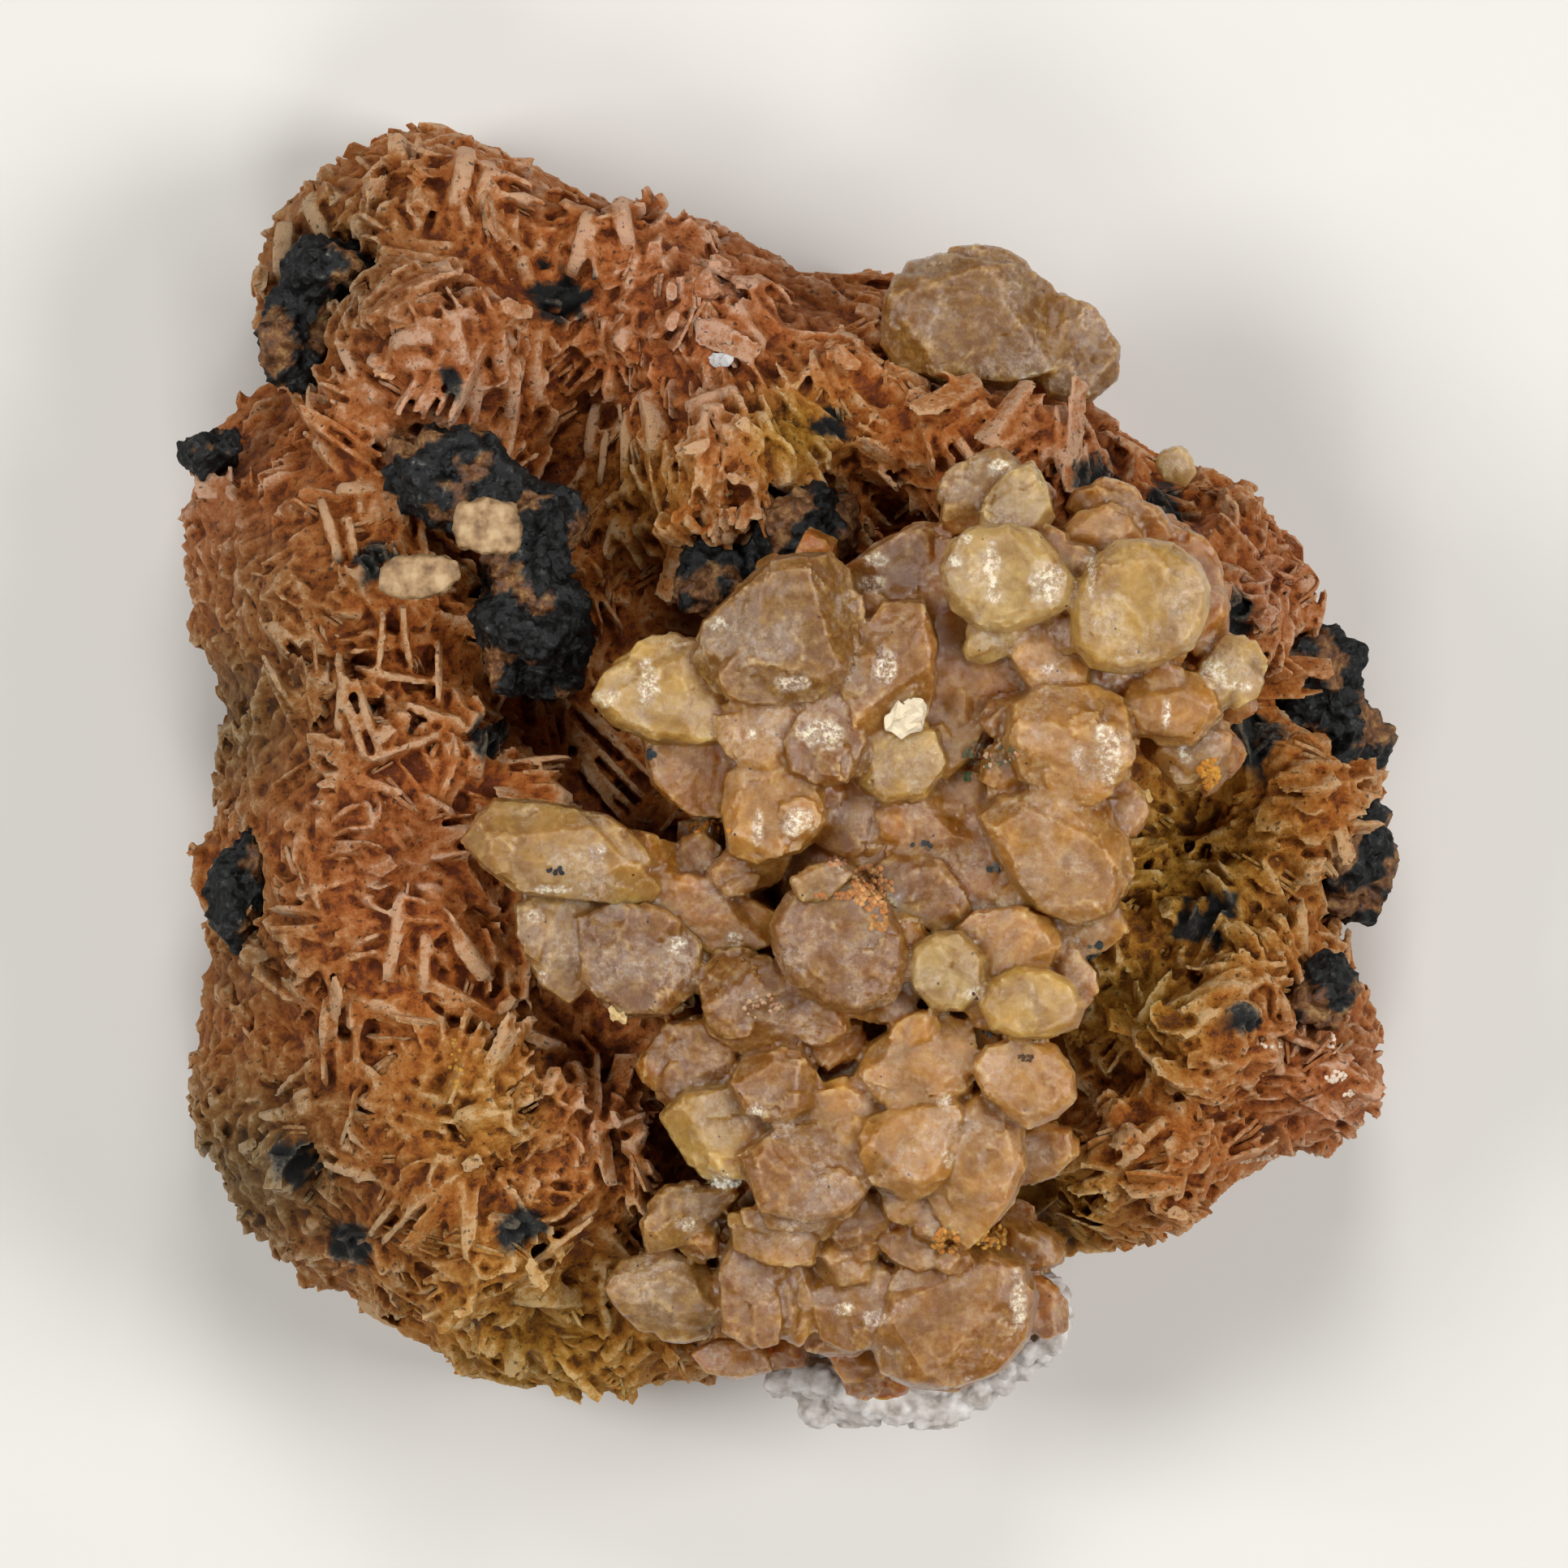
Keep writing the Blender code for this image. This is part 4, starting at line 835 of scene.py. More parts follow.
def cerussite_finish():
    """Cerussite: milky lead carbonate with a greasy adamantine gloss. Light goes a millimetre or two
    in and comes out honey, and the faces are scratched with fine growth lines that glint."""
    material, tree, shader = new_material("cerussite_milky")
    coords = add_node(tree, "TexCoord").outputs["Object"]
    own = add_node(tree, "Attribute", attribute_name="own_colour").outputs["Color"]
    painted_crevice_shade = add_node(tree, "Attribute", attribute_name="painted_crevice_shade").outputs["Fac"]
    painted_highlight = add_node(tree, "Attribute", attribute_name="painted_highlight").outputs["Fac"]
    edge = add_node(tree, "Attribute", attribute_name="edge").outputs["Fac"]
    run = add_node(tree, "Attribute", attribute_name="growth_run").outputs["Vector"]
    # Painted highlight makes the proud edges pale, and painted shade makes the hollows between crystals deep
    # brown
    edge = add_node(tree, "Math", {0: edge, 1: 0.35}, operation="MULTIPLY").outputs[0]
    edge_highlight = add_node(tree, "Mix", {0: edge, 6: own, 7: "#E6C996"}, data_type="RGBA").outputs[2]
    deep = add_node(tree, "Mix", {0: painted_crevice_shade, 6: edge_highlight, 7: "#9C5A18"}, data_type="RGBA").outputs[2]
    # Milky clouds and clear patches inside, a few millimetres across, with threads between them
    cloud = add_node(
        tree,
        "TexNoise",
        {"Vector": coords, "Scale": pitch(2.2), "Detail": 8.0, "Roughness": 0.65, "Distortion": 0.6},
    ).outputs["Fac"]
    haze = add_node(tree, "MapRange", {0: cloud, 1: 0.36, 2: 0.66, 3: 0.82, 4: 1.16}).outputs[0]
    clear = add_node(tree, "MapRange", {0: cloud, 1: 0.36, 2: 0.54, 3: 0.6, 4: 0.0}).outputs[0]
    deep = add_node(tree, "Mix", {0: clear, 6: deep, 7: "#8E5A1E"}, data_type="RGBA").outputs[2]
    # A fine milky veil of 0.7 mm flecks just under the face
    veil = add_node(
        tree, "TexNoise", {"Vector": coords, "Scale": pitch(0.7), "Detail": 9.0, "Roughness": 0.8}
    ).outputs["Fac"]
    veil = add_node(tree, "MapRange", {0: veil, 1: 0.46, 2: 0.68, 3: 0.0, 4: 0.42}).outputs[0]
    deep = add_node(tree, "Mix", {0: veil, 6: deep, 7: "#D6B068"}, data_type="RGBA").outputs[2]
    colour = darkened(tree, deep, haze)
    # Frosting: patches where the face is etched to tiny steps of 0.3 mm that scatter white, and the
    # flashes, whose white is a painted highlight
    patch = add_node(tree, "TexNoise", {"Vector": coords, "Scale": pitch(2.6), "Detail": 2.0}).outputs["Fac"]
    patch = add_node(tree, "MapRange", {0: patch, 1: 0.48, 2: 0.68, 3: 0.0, 4: 0.25}).outputs[0]
    patch = add_node(tree, "Math", {0: patch, 1: painted_highlight}, operation="MAXIMUM").outputs[0]
    steps = add_node(
        tree, "TexNoise", {"Vector": coords, "Scale": pitch(0.3), "Detail": 5.0, "Roughness": 0.75}
    ).outputs["Fac"]
    etched = add_node(tree, "MapRange", {0: steps, 1: 0.46, 2: 0.6, 3: 0.1, 4: 1.0}).outputs[0]
    white = add_node(tree, "Math", {0: patch, 1: etched}, operation="MULTIPLY").outputs[0]
    colour = add_node(tree, "Mix", {0: white, 6: colour, 7: "#F6E8CC"}, data_type="RGBA").outputs[2]
    # Brown specks of dust, about 0.15 mm across and 1.25 mm apart
    cells = add_node(tree, "TexVoronoi", {"Vector": coords, "Scale": pitch(1.25), "Randomness": 1.0})
    cells = cells.outputs["Distance"]
    speck = add_node(tree, "MapRange", {0: cells, 1: 0.04, 2: 0.07, 3: 1.0, 4: 0.0}).outputs[0]
    colour = add_node(tree, "Mix", {0: speck, 6: colour, 7: "#4A2A12"}, data_type="RGBA").outputs[2]
    # A satin grain everywhere, and in the frosted patches flat steps that each glint their own way
    strength = add_node(tree, "MapRange", {0: patch, 1: 0.0, 2: 0.7, 3: 0.35, 4: 0.9}).outputs[0]
    along = add_node(tree, "VectorMath", {0: coords, 1: run}, operation="DOT_PRODUCT").outputs["Value"]
    lines = add_node(
        tree, "TexNoise", {"W": along, "Scale": pitch(0.45), "Detail": 3.0}, noise_dimensions="1D"
    ).outputs["Fac"]
    bump = add_node(tree, "Bump", {"Height": lines, "Strength": 0.12, "Distance": 0.12 * MM}).outputs[0]
    bump = add_node(
        tree, "Bump", {"Height": steps, "Strength": strength, "Distance": 0.12 * MM, "Normal": bump}
    ).outputs["Normal"]
    turning = add_node(tree, "MapRange", {0: patch, 1: 0.0, 2: 0.7, 3: 0.1, 4: 0.6}).outputs[0]
    # Small cleavage faces under the greasy gloss flash like glass, each for its own light
    ripple = add_node(tree, "TexNoise", {"Vector": coords, "Scale": pitch(0.3), "Detail": 2.0})
    ripple = ripple.outputs["Color"]
    ripple = add_node(tree, "VectorMath", {0: ripple, "Scale": 0.5 * MM}, operation="SCALE").outputs[0]
    crooked = add_node(tree, "VectorMath", {0: coords, 1: ripple}, operation="ADD").outputs[0]
    look = {
        "Base Color": colour,
        "Normal": glinting(tree, coords, bump, 0.22, turning),
        "Roughness": add_node(tree, "MapRange", {0: patch, 1: 0.0, 2: 0.7, 3: 0.2, 4: 0.12}).outputs[0],
        "Coat Normal": glinting(tree, crooked, bump, 0.28, 0.85),
        "Coat Weight": add_node(tree, "MapRange", {0: patch, 1: 0.0, 2: 0.5, 3: 0.08, 4: 1.0}).outputs[0],
        "Coat Roughness": 0.1,
        "Coat IOR": 1.9,
        "IOR": 1.75,
        "Specular IOR Level": 0.28,
        "Transmission Weight": 0.1,
        "Subsurface Weight": 1.0,
        "Subsurface Radius": (1.0, 0.55, 0.2),
        "Subsurface Scale": 2.4 * MM,
    }
    feed(tree, shader, look)
    return material


def galena_finish():
    """Galena: lead sulfide, fresh grains glint like dark metal and the rest is tarnished blue black."""
    material, tree, shader = new_material("galena_granular")
    coords = add_node(tree, "TexCoord").outputs["Object"]
    grains = add_node(tree, "TexVoronoi", {"Vector": coords, "Scale": pitch(0.35)})
    dull = add_node(
        tree, "TexNoise", {"Vector": coords, "Scale": pitch(0.7), "Detail": 6.0, "Roughness": 0.7}
    ).outputs["Fac"]
    colour = add_node(
        tree,
        "ValToRGB",
        {"Fac": dull},
        stops=[(0.3, "#030303"), (0.48, "#0C0D0C"), (0.57, "#222424"), (0.66, "#484846"), (0.76, "#968C7C")],
    ).outputs["Color"]
    # Rusty barite sits between the grains in patches of two or three millimetres
    rust = add_node(tree, "Attribute", attribute_name="rust").outputs["Fac"]
    earth = add_node(
        tree, "ValToRGB", {"Fac": dull}, stops=[(0.3, "#2A1506"), (0.5, "#6E4420"), (0.68, "#A5814F")]
    ).outputs["Color"]
    bump = add_node(
        tree, "Bump", {"Height": grains.outputs["Distance"], "Strength": 0.6, "Distance": 0.12 * MM}
    ).outputs["Normal"]
    look = {
        "Base Color": add_node(tree, "Mix", {0: rust, 6: colour, 7: earth}, data_type="RGBA").outputs[2],
        "Metallic": add_node(tree, "MapRange", {0: rust, 1: 0.0, 2: 1.0, 3: 0.35, 4: 0.0}).outputs[0],
        "Normal": glinting(tree, coords, bump, 0.45, 0.9),
        "Roughness": add_node(tree, "MapRange", {0: dull, 1: 0.35, 2: 0.6, 3: 0.45, 4: 0.85}).outputs[0],
    }
    feed(tree, shader, look)
    return material


def dust_finish():
    """Earthy grains of goethite, carbonate and barite dust that lie on the crystals, each in its own
    colour, matt."""
    material, tree, shader = new_material("mineral_dust")
    coords = add_node(tree, "TexCoord").outputs["Object"]
    fine = add_node(tree, "TexNoise", {"Vector": coords, "Scale": pitch(0.15), "Detail": 3.0}).outputs["Fac"]
    bump = add_node(tree, "Bump", {"Height": fine, "Strength": 0.7, "Distance": 0.05 * MM}).outputs[0]
    look = {
        "Base Color": add_node(tree, "Attribute", attribute_name="own_colour").outputs["Color"],
        "Normal": bump,
        "Roughness": 0.7,
        "Subsurface Weight": 0.4,
        "Subsurface Radius": (1.0, 0.6, 0.3),
        "Subsurface Scale": 0.3 * MM,
    }
    feed(tree, shader, look)
    return material


def crust_finish():
    """White crust: a powdery carbonate that scatters all light, without gloss."""
    material, tree, shader = new_material("carbonate_crust")
    coords = add_node(tree, "TexCoord").outputs["Object"]
    dust = add_node(tree, "TexNoise", {"Vector": coords, "Scale": pitch(0.8), "Detail": 5.0}).outputs["Fac"]
    colour = add_node(
        tree, "ValToRGB", {"Fac": dust}, stops=[(0.25, "#94887C"), (0.45, "#C2BBB4"), (0.7, "#E0DCD8")]
    ).outputs["Color"]
    fine = add_node(
        tree, "TexNoise", {"Vector": coords, "Scale": pitch(0.2), "Detail": 3.0, "Roughness": 0.7}
    ).outputs["Fac"]
    bump = add_node(tree, "Bump", {"Height": fine, "Strength": 0.6, "Distance": 0.06 * MM}).outputs[0]
    look = {
        "Base Color": colour,
        "Normal": bump,
        "Roughness": 0.85,
        "Subsurface Weight": 0.3,
        "Subsurface Radius": (1.0, 0.9, 0.8),
        "Subsurface Scale": 0.4 * MM,
    }
    feed(tree, shader, look)
    return material


def pale_barite_finish():
    """Pale tan barite in flat blocks, dull and dusty, with clouds of 0.7 mm."""
    material, tree, shader = new_material("barite_tablet")
    coords = add_node(tree, "TexCoord").outputs["Object"]
    cloud = add_node(tree, "TexNoise", {"Vector": coords, "Scale": pitch(0.7), "Detail": 5.0}).outputs["Fac"]
    colour = add_node(
        tree, "ValToRGB", {"Fac": cloud}, stops=[(0.32, "#6E5030"), (0.5, "#A08058"), (0.68, "#BCA078")]
    ).outputs["Color"]
    bump = add_node(tree, "Bump", {"Height": cloud, "Strength": 0.5, "Distance": 0.08 * MM}).outputs[0]
    feed(tree, shader, {"Base Color": colour, "Normal": bump, "Roughness": 0.6})
    return material


def floor_finish():
    """Matt pale paper."""
    material, tree, shader = new_material("studio_paper")
    feed(tree, shader, {"Base Color": "#D9D6D1", "Roughness": 0.9})
    return material


def make_piece(name, bm, material):
    """A piece of the specimen from a bmesh in millimetres."""
    bmesh.ops.transform(bm, matrix=Matrix.Scale(MM, 4), verts=bm.verts)
    mesh = bpy.data.meshes.new(name)
    bm.to_mesh(mesh)
    bm.free()
    return link_piece(name, mesh, material)


def link_piece(name, mesh, material):
    """A piece of the specimen from a mesh, on the one body that the specimen is."""
    piece = bpy.data.objects.new(name, mesh)
    bpy.context.scene.collection.objects.link(piece)
    mesh.materials.clear()
    mesh.materials.append(material)
    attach(piece, "root")
    return piece


def settle(piece):
    """Turns the piece's modifiers into its mesh."""
    bpy.context.view_layer.update()
    graph = bpy.context.evaluated_depsgraph_get()
    mesh = bpy.data.meshes.new_from_object(piece.evaluated_get(graph))
    piece.modifiers.clear()
    piece.data = mesh


def grow_together(piece, voxel):
    """Joins all overlapping shells of a piece into one skin."""
    remesh = piece.modifiers.new("skin", "REMESH")
    remesh.mode = "VOXEL"
    remesh.voxel_size = voxel * MM
    remesh.use_smooth_shade = True
    settle(piece)


def points_of(mesh):
    """The vertices in millimetres and their normals."""
    co = np.empty(len(mesh.vertices) * 3, np.float32)
    normal = np.empty(len(mesh.vertices) * 3, np.float32)
    mesh.vertices.foreach_get("co", co)
    mesh.vertices.foreach_get("normal", normal)
    return co.reshape(-1, 3) / MM, normal.reshape(-1, 3)


def move_points(mesh, co):
    """Moves the vertices, none of them out of the box of the CAD, and gives their places."""
    co = np.clip(co, BOX_LOW, BOX_HIGH)
    mesh.vertices.foreach_set("co", (co * MM).astype(np.float32).ravel())
    mesh.update()
    return co


def neighbours(mesh):
    """Both ends of every edge, each way round, and how many edges meet at each vertex."""
    ends = np.empty(len(mesh.edges) * 2, np.int32)
    mesh.edges.foreach_get("vertices", ends)
    ends = ends.reshape(-1, 2)
    one = np.concatenate([ends[:, 0], ends[:, 1]])
    two = np.concatenate([ends[:, 1], ends[:, 0]])
    return one, two, np.maximum(np.bincount(one, minlength=len(mesh.vertices)), 1)


def smoothed(mesh, co, rounds, share=0.6):
    """The points after each has moved towards its neighbours a few times."""
    one, two, count = neighbours(mesh)
    for _ in range(rounds):
        mean = np.stack([np.bincount(one, co[two, k], len(co)) for k in range(3)], 1) / count[:, None]
        co = co + share * (mean - co)
    return co


def proud(mesh, co, normal, rounds):
    """How far each point stands out of the smoothed skin."""
    return np.einsum("ij,ij->i", co - smoothed(mesh, co, rounds), normal)


def set_attribute(mesh, name, values, kind="FLOAT"):
    """Writes a number, a colour or a vector to each vertex."""
    field = {"FLOAT": "value", "FLOAT_COLOR": "color", "FLOAT_VECTOR": "vector"}[kind]
    layer = mesh.attributes.new(name, kind, "POINT")
    layer.data.foreach_set(field, np.asarray(values, np.float32).ravel())


def zone_weight(zones, co):
    """How much a point belongs to some zones, from 0 to 1."""
    weight = np.zeros(len(co))
    for x, y, reach, strength in zones:
        distance = np.hypot(co[:, 0] - x, co[:, 1] - y)
        weight = np.maximum(weight, strength * np.exp(-((distance / reach) ** 2)))
    return weight


def set_zones(mesh, co):
    """Writes the zones of colour. The dark ones have a ragged border."""
    for name, zones in (("salmon", SALMON_ZONES), ("ochre", OCHRE_ZONES), ("tan", TAN_ZONES)):
        set_attribute(mesh, name, zone_weight(zones, co))
    ragged = np.array([noise.noise(Vector(p) / DARK_RAGGED_SIZE) for p in co])
    dark = DARK_BORDER * (zone_weight(DARK_ZONES, co) - 0.5 + DARK_RAGGED * ragged)
    set_attribute(mesh, "dark", np.clip(dark, 0, 1))


def merged_copy(node, name, material):
    """A copy of a CAD node whose loose triangles are joined again."""
    bm = bmesh.new()
    bm.from_mesh(frame["nodes"][node].data)
    bmesh.ops.remove_doubles(bm, verts=bm.verts, dist=0.001 * MM)
    mesh = bpy.data.meshes.new(name)
    bm.to_mesh(mesh)
    bm.free()
    return link_piece(name, mesh, material)


def tree_of(node):
    """Search tree of a CAD node, in millimetres."""
    return piece_tree(frame["nodes"][node])


def piece_tree(piece):
    """Search tree of a piece, in millimetres."""
    bm = bmesh.new()
    bm.from_mesh(piece.data)
    bmesh.ops.scale(bm, vec=(1 / MM, 1 / MM, 1 / MM), verts=bm.verts)
    tree = BVHTree.FromBMesh(bm)
    bm.free()
    return tree


def from_above(tree, x, y):
    """The highest point of a search tree at a place, with its normal, face and distance."""
    return tree.ray_cast(Vector((x, y, ABOVE_ALL)), DOWN)


def crag(point):
    """Height of the ground at a point: plates grown side by side, another way in each patch, over a
    knobbly stone."""
    cells = noise.voronoi(point / GROUND_GRAIN)[0]
    fine = noise.fractal(point / GROUND_FINE_GRAIN, 0.7, 2.0, 3)
    knobs = 1.2 * (cells[1] - cells[0]) + 0.8 * fine - 0.4
    patch = noise.voronoi(point / RIDGE_PATCH)[1][0]
    # Noise read at the patch's own middle, set off by any steady step, gives all of it one way
    way = noise.noise_vector(patch * 5.3 + Vector((0.2, 0.7, 0.4))).normalized()
    along = (point / RIDGE_PITCH).dot(way) + 0.5 * noise.noise(point / RIDGE_WANDER)
    ridge = 1 - 2 * abs(2 * (along % 1.0) - 1) ** 1.6
    strength = 0.6 + 0.8 * noise.noise(point / RIDGE_FADING)
    return GROUND_RELIEF * knobs + RIDGE_HEIGHT * max(strength, 0.1) * ridge


def cut_away(bm, point, outward):
    """Cuts off what lies beyond a plane and gives the edges of the cut."""
    everything = bm.verts[:] + bm.edges[:] + bm.faces[:]
    cut = bmesh.ops.bisect_plane(bm, geom=everything, plane_co=point, plane_no=outward, clear_outer=True)
    return [g for g in cut["geom_cut"] if isinstance(g, bmesh.types.BMEdge)]


def raise_plate(bm, corners, high):
    """Makes a plate of this height on a ring of corners and gives the corners of its other side."""
    bmesh.ops.contextual_create(bm, geom=corners)
    raised = bmesh.ops.extrude_face_region(bm, geom=bm.faces[:])["geom"]
    raised = [g for g in raised if isinstance(g, bmesh.types.BMVert)]
    bmesh.ops.translate(bm, vec=(0, 0, high), verts=raised)
    return raised


def barite_ground(side, material):
    """One half of the body of barite: the CAD solid drawn in by half a blade and roughened."""
    sign = PARTS[side]
    ground = merged_copy("barite_mass", "barite_ground_" + side, material)
    bm = bmesh.new()
    bm.from_mesh(ground.data)
    parting = ((GROUND_PARTING - sign * PART_OVERLAP) * MM, 0, 0)
    rim = cut_away(bm, parting, (-sign, 0, 0))
    bmesh.ops.triangle_fill(bm, edges=rim, use_beauty=True)
    bm.to_mesh(ground.data)
    bm.free()
    grow_together(ground, GROUND_VOXEL)
    mesh = ground.data
    flatten_base(mesh)
    co, normal = points_of(mesh)
    co = smoothed(mesh, co, 3)
    lift = np.array([crag(Vector(p)) for p in co]) - GROUND_SHRINK
    free = np.clip(co[:, 2] / BASE_FADE, 0, 1)
    move_points(mesh, co + normal * (lift * free)[:, None])
    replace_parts(ground, "barite_mass")
    return ground


def grow_barite(ground, blades):
    """Grows one half of the ground and its blades into one skin, takes triangles out of what nobody
    sees, and notes how proud each point stands, as painted light where it stands out and painted shade
    where it is sunk, and which blade it belongs to."""
    body = piece_tree(ground)
    leaf_co = np.concatenate(blades.co)
    leaf_faces = np.concatenate(blades.faces)
    leaf_tint = np.concatenate(blades.tint)[leaf_faces[:, 0]]
    leaves = BVHTree.FromPolygons(leaf_co.tolist(), leaf_faces.tolist())
    bm = bmesh.new()
    bm.from_mesh(ground.data)
    bm.from_mesh(blades.mesh("leaves"))
    bm.to_mesh(ground.data)
    bm.free()
    grow_together(ground, BARITE_VOXEL)
    flatten_base(ground.data)
    co, normal = points_of(ground.data)
    depth = depth_below_top(body, co)
    wall = (np.abs(co[:, 0] - GROUND_PARTING) < UNSEEN_WALL) & (depth > UNSEEN_WALL_DEPTH)
    underside = (normal[:, 2] < -0.3) & (co[:, 2] < UNSEEN_UNDERSIDE)
    unseen = wall | underside | (co[:, 2] < UNSEEN_BASE)
    thin_out(ground, unseen, 1 - UNSEEN_TAKEN * unseen.mean())
    lighten(ground, BARITE_MOST)
    mesh = ground.data
    co, normal = points_of(mesh)
    rough = [SKIN_GRAIN * noise.fractal(Vector(p) / SKIN_GRAIN_SIZE, 0.7, 2.0, 2) for p in co]
    co = move_points(mesh, co + normal * (np.array(rough) * np.clip(co[:, 2] - 0.2, 0, 1))[:, None])
    _, normal = points_of(mesh)
    # Painted light where the skin stands proud and painted shade where it is sunk, near and broad
    near = proud(mesh, co, normal, NEAR_ROUNDS)
    broad = proud(mesh, co, normal, BROAD_ROUNDS)
    set_attribute(mesh, "painted_relief_shading", np.clip(TIP_TONE + TIP_NEAR * near + TIP_BROAD * broad, 0, 1))
    tint = np.full(len(co), 0.5)
    for index, point in enumerate(co):
        face = leaves.find_nearest(Vector(point), BLADE_REACH)[2]
        if face is not None:
            tint[index] = leaf_tint[face]
    set_attribute(mesh, "tint", smoothed(mesh, np.stack([tint] * 3, 1), 1)[:, 0])
    set_zones(mesh, co)
    mesh.set_sharp_from_angle(angle=math.radians(BARITE_SHARP))


def lighten(piece, most):
    """Takes triangles out of a piece until it has no more than this."""
    count = sum(len(p.vertices) - 2 for p in piece.data.polygons)
    if count > most:
        fewer = piece.modifiers.new("fewer", "DECIMATE")
        fewer.ratio = most / count
        settle(piece)


def flatten_base(mesh):
    """Turns the flat underside into few large faces."""
    bm = bmesh.new()
    bm.from_mesh(mesh)
    low = [v for v in bm.verts if v.co.z < BASE_FLAT * MM]
    within = [e for e in bm.edges if all(v.co.z < BASE_FLAT * MM for v in e.verts)]
    bmesh.ops.dissolve_limit(bm, angle_limit=0.05, verts=low, edges=within)
    bm.to_mesh(mesh)
    bm.free()


def blade_form(seed):
    """Points and triangles of one tabular crystal of unit length, height and thickness: a plate with
    straight flanks and a ragged outline, a little narrower on one side."""
    pick = random.Random(seed)
    outline = BLADE_OUTLINES[seed % len(BLADE_OUTLINES)]
    bm = bmesh.new()
    corners = []
    for corner in outline:
        x, y = (place + pick.uniform(-BLADE_RAGGED, BLADE_RAGGED) for place in corner)
        corners.append(bm.verts.new((x, y, -0.5)))
    raised = raise_plate(bm, corners, 1)
    bmesh.ops.scale(bm, vec=(0.94, BLADE_TAPER + 0.2 * pick.random(), 1), verts=raised)
    for vert in bm.verts:
        vert.co.z *= 1 - BLADE_POINTED * (2 * vert.co.x) ** 2
    return form_arrays(bm)


def petal_form(seed):
    """Points and triangles of one thick plate with a round outline and soft edges, of unit size."""
    pick = random.Random(seed)
    bm = bmesh.new()
    corners = [bm.verts.new((0.5, -0.5, -0.5)), bm.verts.new((-0.5, -0.5, -0.5))]
    for k in range(9):
        angle = math.pi * (1 - k / 8)
        wide = 1 + pick.uniform(-0.08, 0.08)
        x = 0.5 * wide * math.cos(angle)
        y = -0.2 + 0.7 * wide * math.sin(angle)
        corners.append(bm.verts.new((x, y, -0.5)))
    raise_plate(bm, corners, 1)
    rims = [e for e in bm.edges if abs(e.verts[0].co.z - e.verts[1].co.z) < 0.1]
    bmesh.ops.bevel(bm, geom=rims, offset=0.2, segments=2, profile=0.6, affect="EDGES", clamp_overlap=True)
    return form_arrays(bm)


def form_arrays(bm):
    """The points and triangles of a bmesh, which is then freed."""
    bmesh.ops.recalc_face_normals(bm, faces=bm.faces)
    bmesh.ops.triangulate(bm, faces=bm.faces)
    bm.verts.index_update()
    co = np.array([v.co for v in bm.verts])
    faces = np.array([[v.index for v in f.verts] for f in bm.faces])
    bm.free()
    return co, faces


class Blades:
    """Gathers blades and turns them into one mesh."""

    def __init__(self, forms, pick, body):
        self.forms = forms
        self.pick = pick
        self.body = body
        self.co = []
        self.faces = []
        self.painted_relief_shading = []
        self.tint = []
        self.flat = []
        self.count = 0

    def add(self, point, outward, along, length, height, thickness, tint, petal=None):
        """One blade whose plate holds the outward and along directions."""
        co, faces = petal or self.forms[self.pick.randrange(len(self.forms))]
        across = along.cross(outward).normalized()
        along = outward.cross(across).normalized()
        turn = np.array([along, outward, across]).T
        local = co * (length, height, thickness)
        local[:, 2] += self.pick.gauss(0, BLADE_BEND) * length * (co[:, 0] ** 2 - 0.08)
        placed = local @ turn.T + np.array(point)
        if (placed < BOX_LOW).any() or (placed > BOX_HIGH).any() or self.sticks_out(placed):
            return
        self.faces.append(faces + self.count)
        self.count += len(co)
        self.co.append(placed)
        # Painted shade at the blade's foot, paling to painted light at its top edge
        self.painted_relief_shading.append(BLADE_FOOT_TONE + BLADE_TONE_RISE * (0.5 + co[:, 1]))
        self.tint.append(np.full(len(co), tint))
        self.flat.append(np.full(len(faces), petal is None))

    def sticks_out(self, placed):
        """Whether a blade reaches past the outline of the specimen as seen from above."""
        for corner in placed:
            if self.body.find_nearest(Vector(corner))[3] > BLADE_PAST_OUTLINE:
                if not from_above(self.body, corner[0], corner[1])[0]:
                    return True
        return False

    def mesh(self, name):
        """One mesh of all the blades."""
        mesh = bpy.data.meshes.new(name)
        co = np.concatenate(self.co)
        faces = np.concatenate(self.faces)
        mesh.vertices.add(len(co))
        mesh.loops.add(len(faces) * 3)
        mesh.polygons.add(len(faces))
        mesh.vertices.foreach_set("co", (co * MM).astype(np.float32).ravel())
        mesh.loops.foreach_set("vertex_index", faces.astype(np.int32).ravel())
        mesh.polygons.foreach_set("loop_start", np.arange(0, len(faces) * 3, 3, dtype=np.int32))
        mesh.update(calc_edges=True)
        return mesh

    def piece(self, name, material):
        """A piece of the blades alone, each with flat faces."""
        mesh = self.mesh(name)
        sharp = mesh.attributes.new("sharp_face", "BOOLEAN", "FACE")
        sharp.data.foreach_set("value", np.concatenate(self.flat))
        # Painted shade at each sliver's foot and painted light at its top edge
        set_attribute(mesh, "painted_relief_shading", np.concatenate(self.painted_relief_shading))
        set_attribute(mesh, "tint", np.concatenate(self.tint))
        set_zones(mesh, np.concatenate(self.co))
        return link_piece(name, mesh, material)


def blade_run(point, outward, pick):
    """The way in which the blades at a point run: round or away from the centre of a spray that is
    near, and otherwise as the patches of the stone go."""
    nearest = SPRAY_EDGE
    angle = noise.noise(point / RUN_PATCH) * 2 * math.pi + pick.gauss(0, 0.9)
    for x, y, reach, kind in SPRAYS:
        centre = on_sheet(x, y, FOCUS_HEIGHT)
        away = Vector((point.x - centre.x, point.y - centre.y))
        distance = away.length * SHEET_SCALE / reach
        if distance < nearest:
            nearest = distance
            angle = math.atan2(away.y, away.x) + (math.pi / 2 if kind == "rose" else 0) + pick.gauss(0, 0.3)
    way = Vector((math.cos(angle), math.sin(angle), 0.15 * math.sin(3 * angle)))
    return (way - outward * way.dot(outward)).normalized()


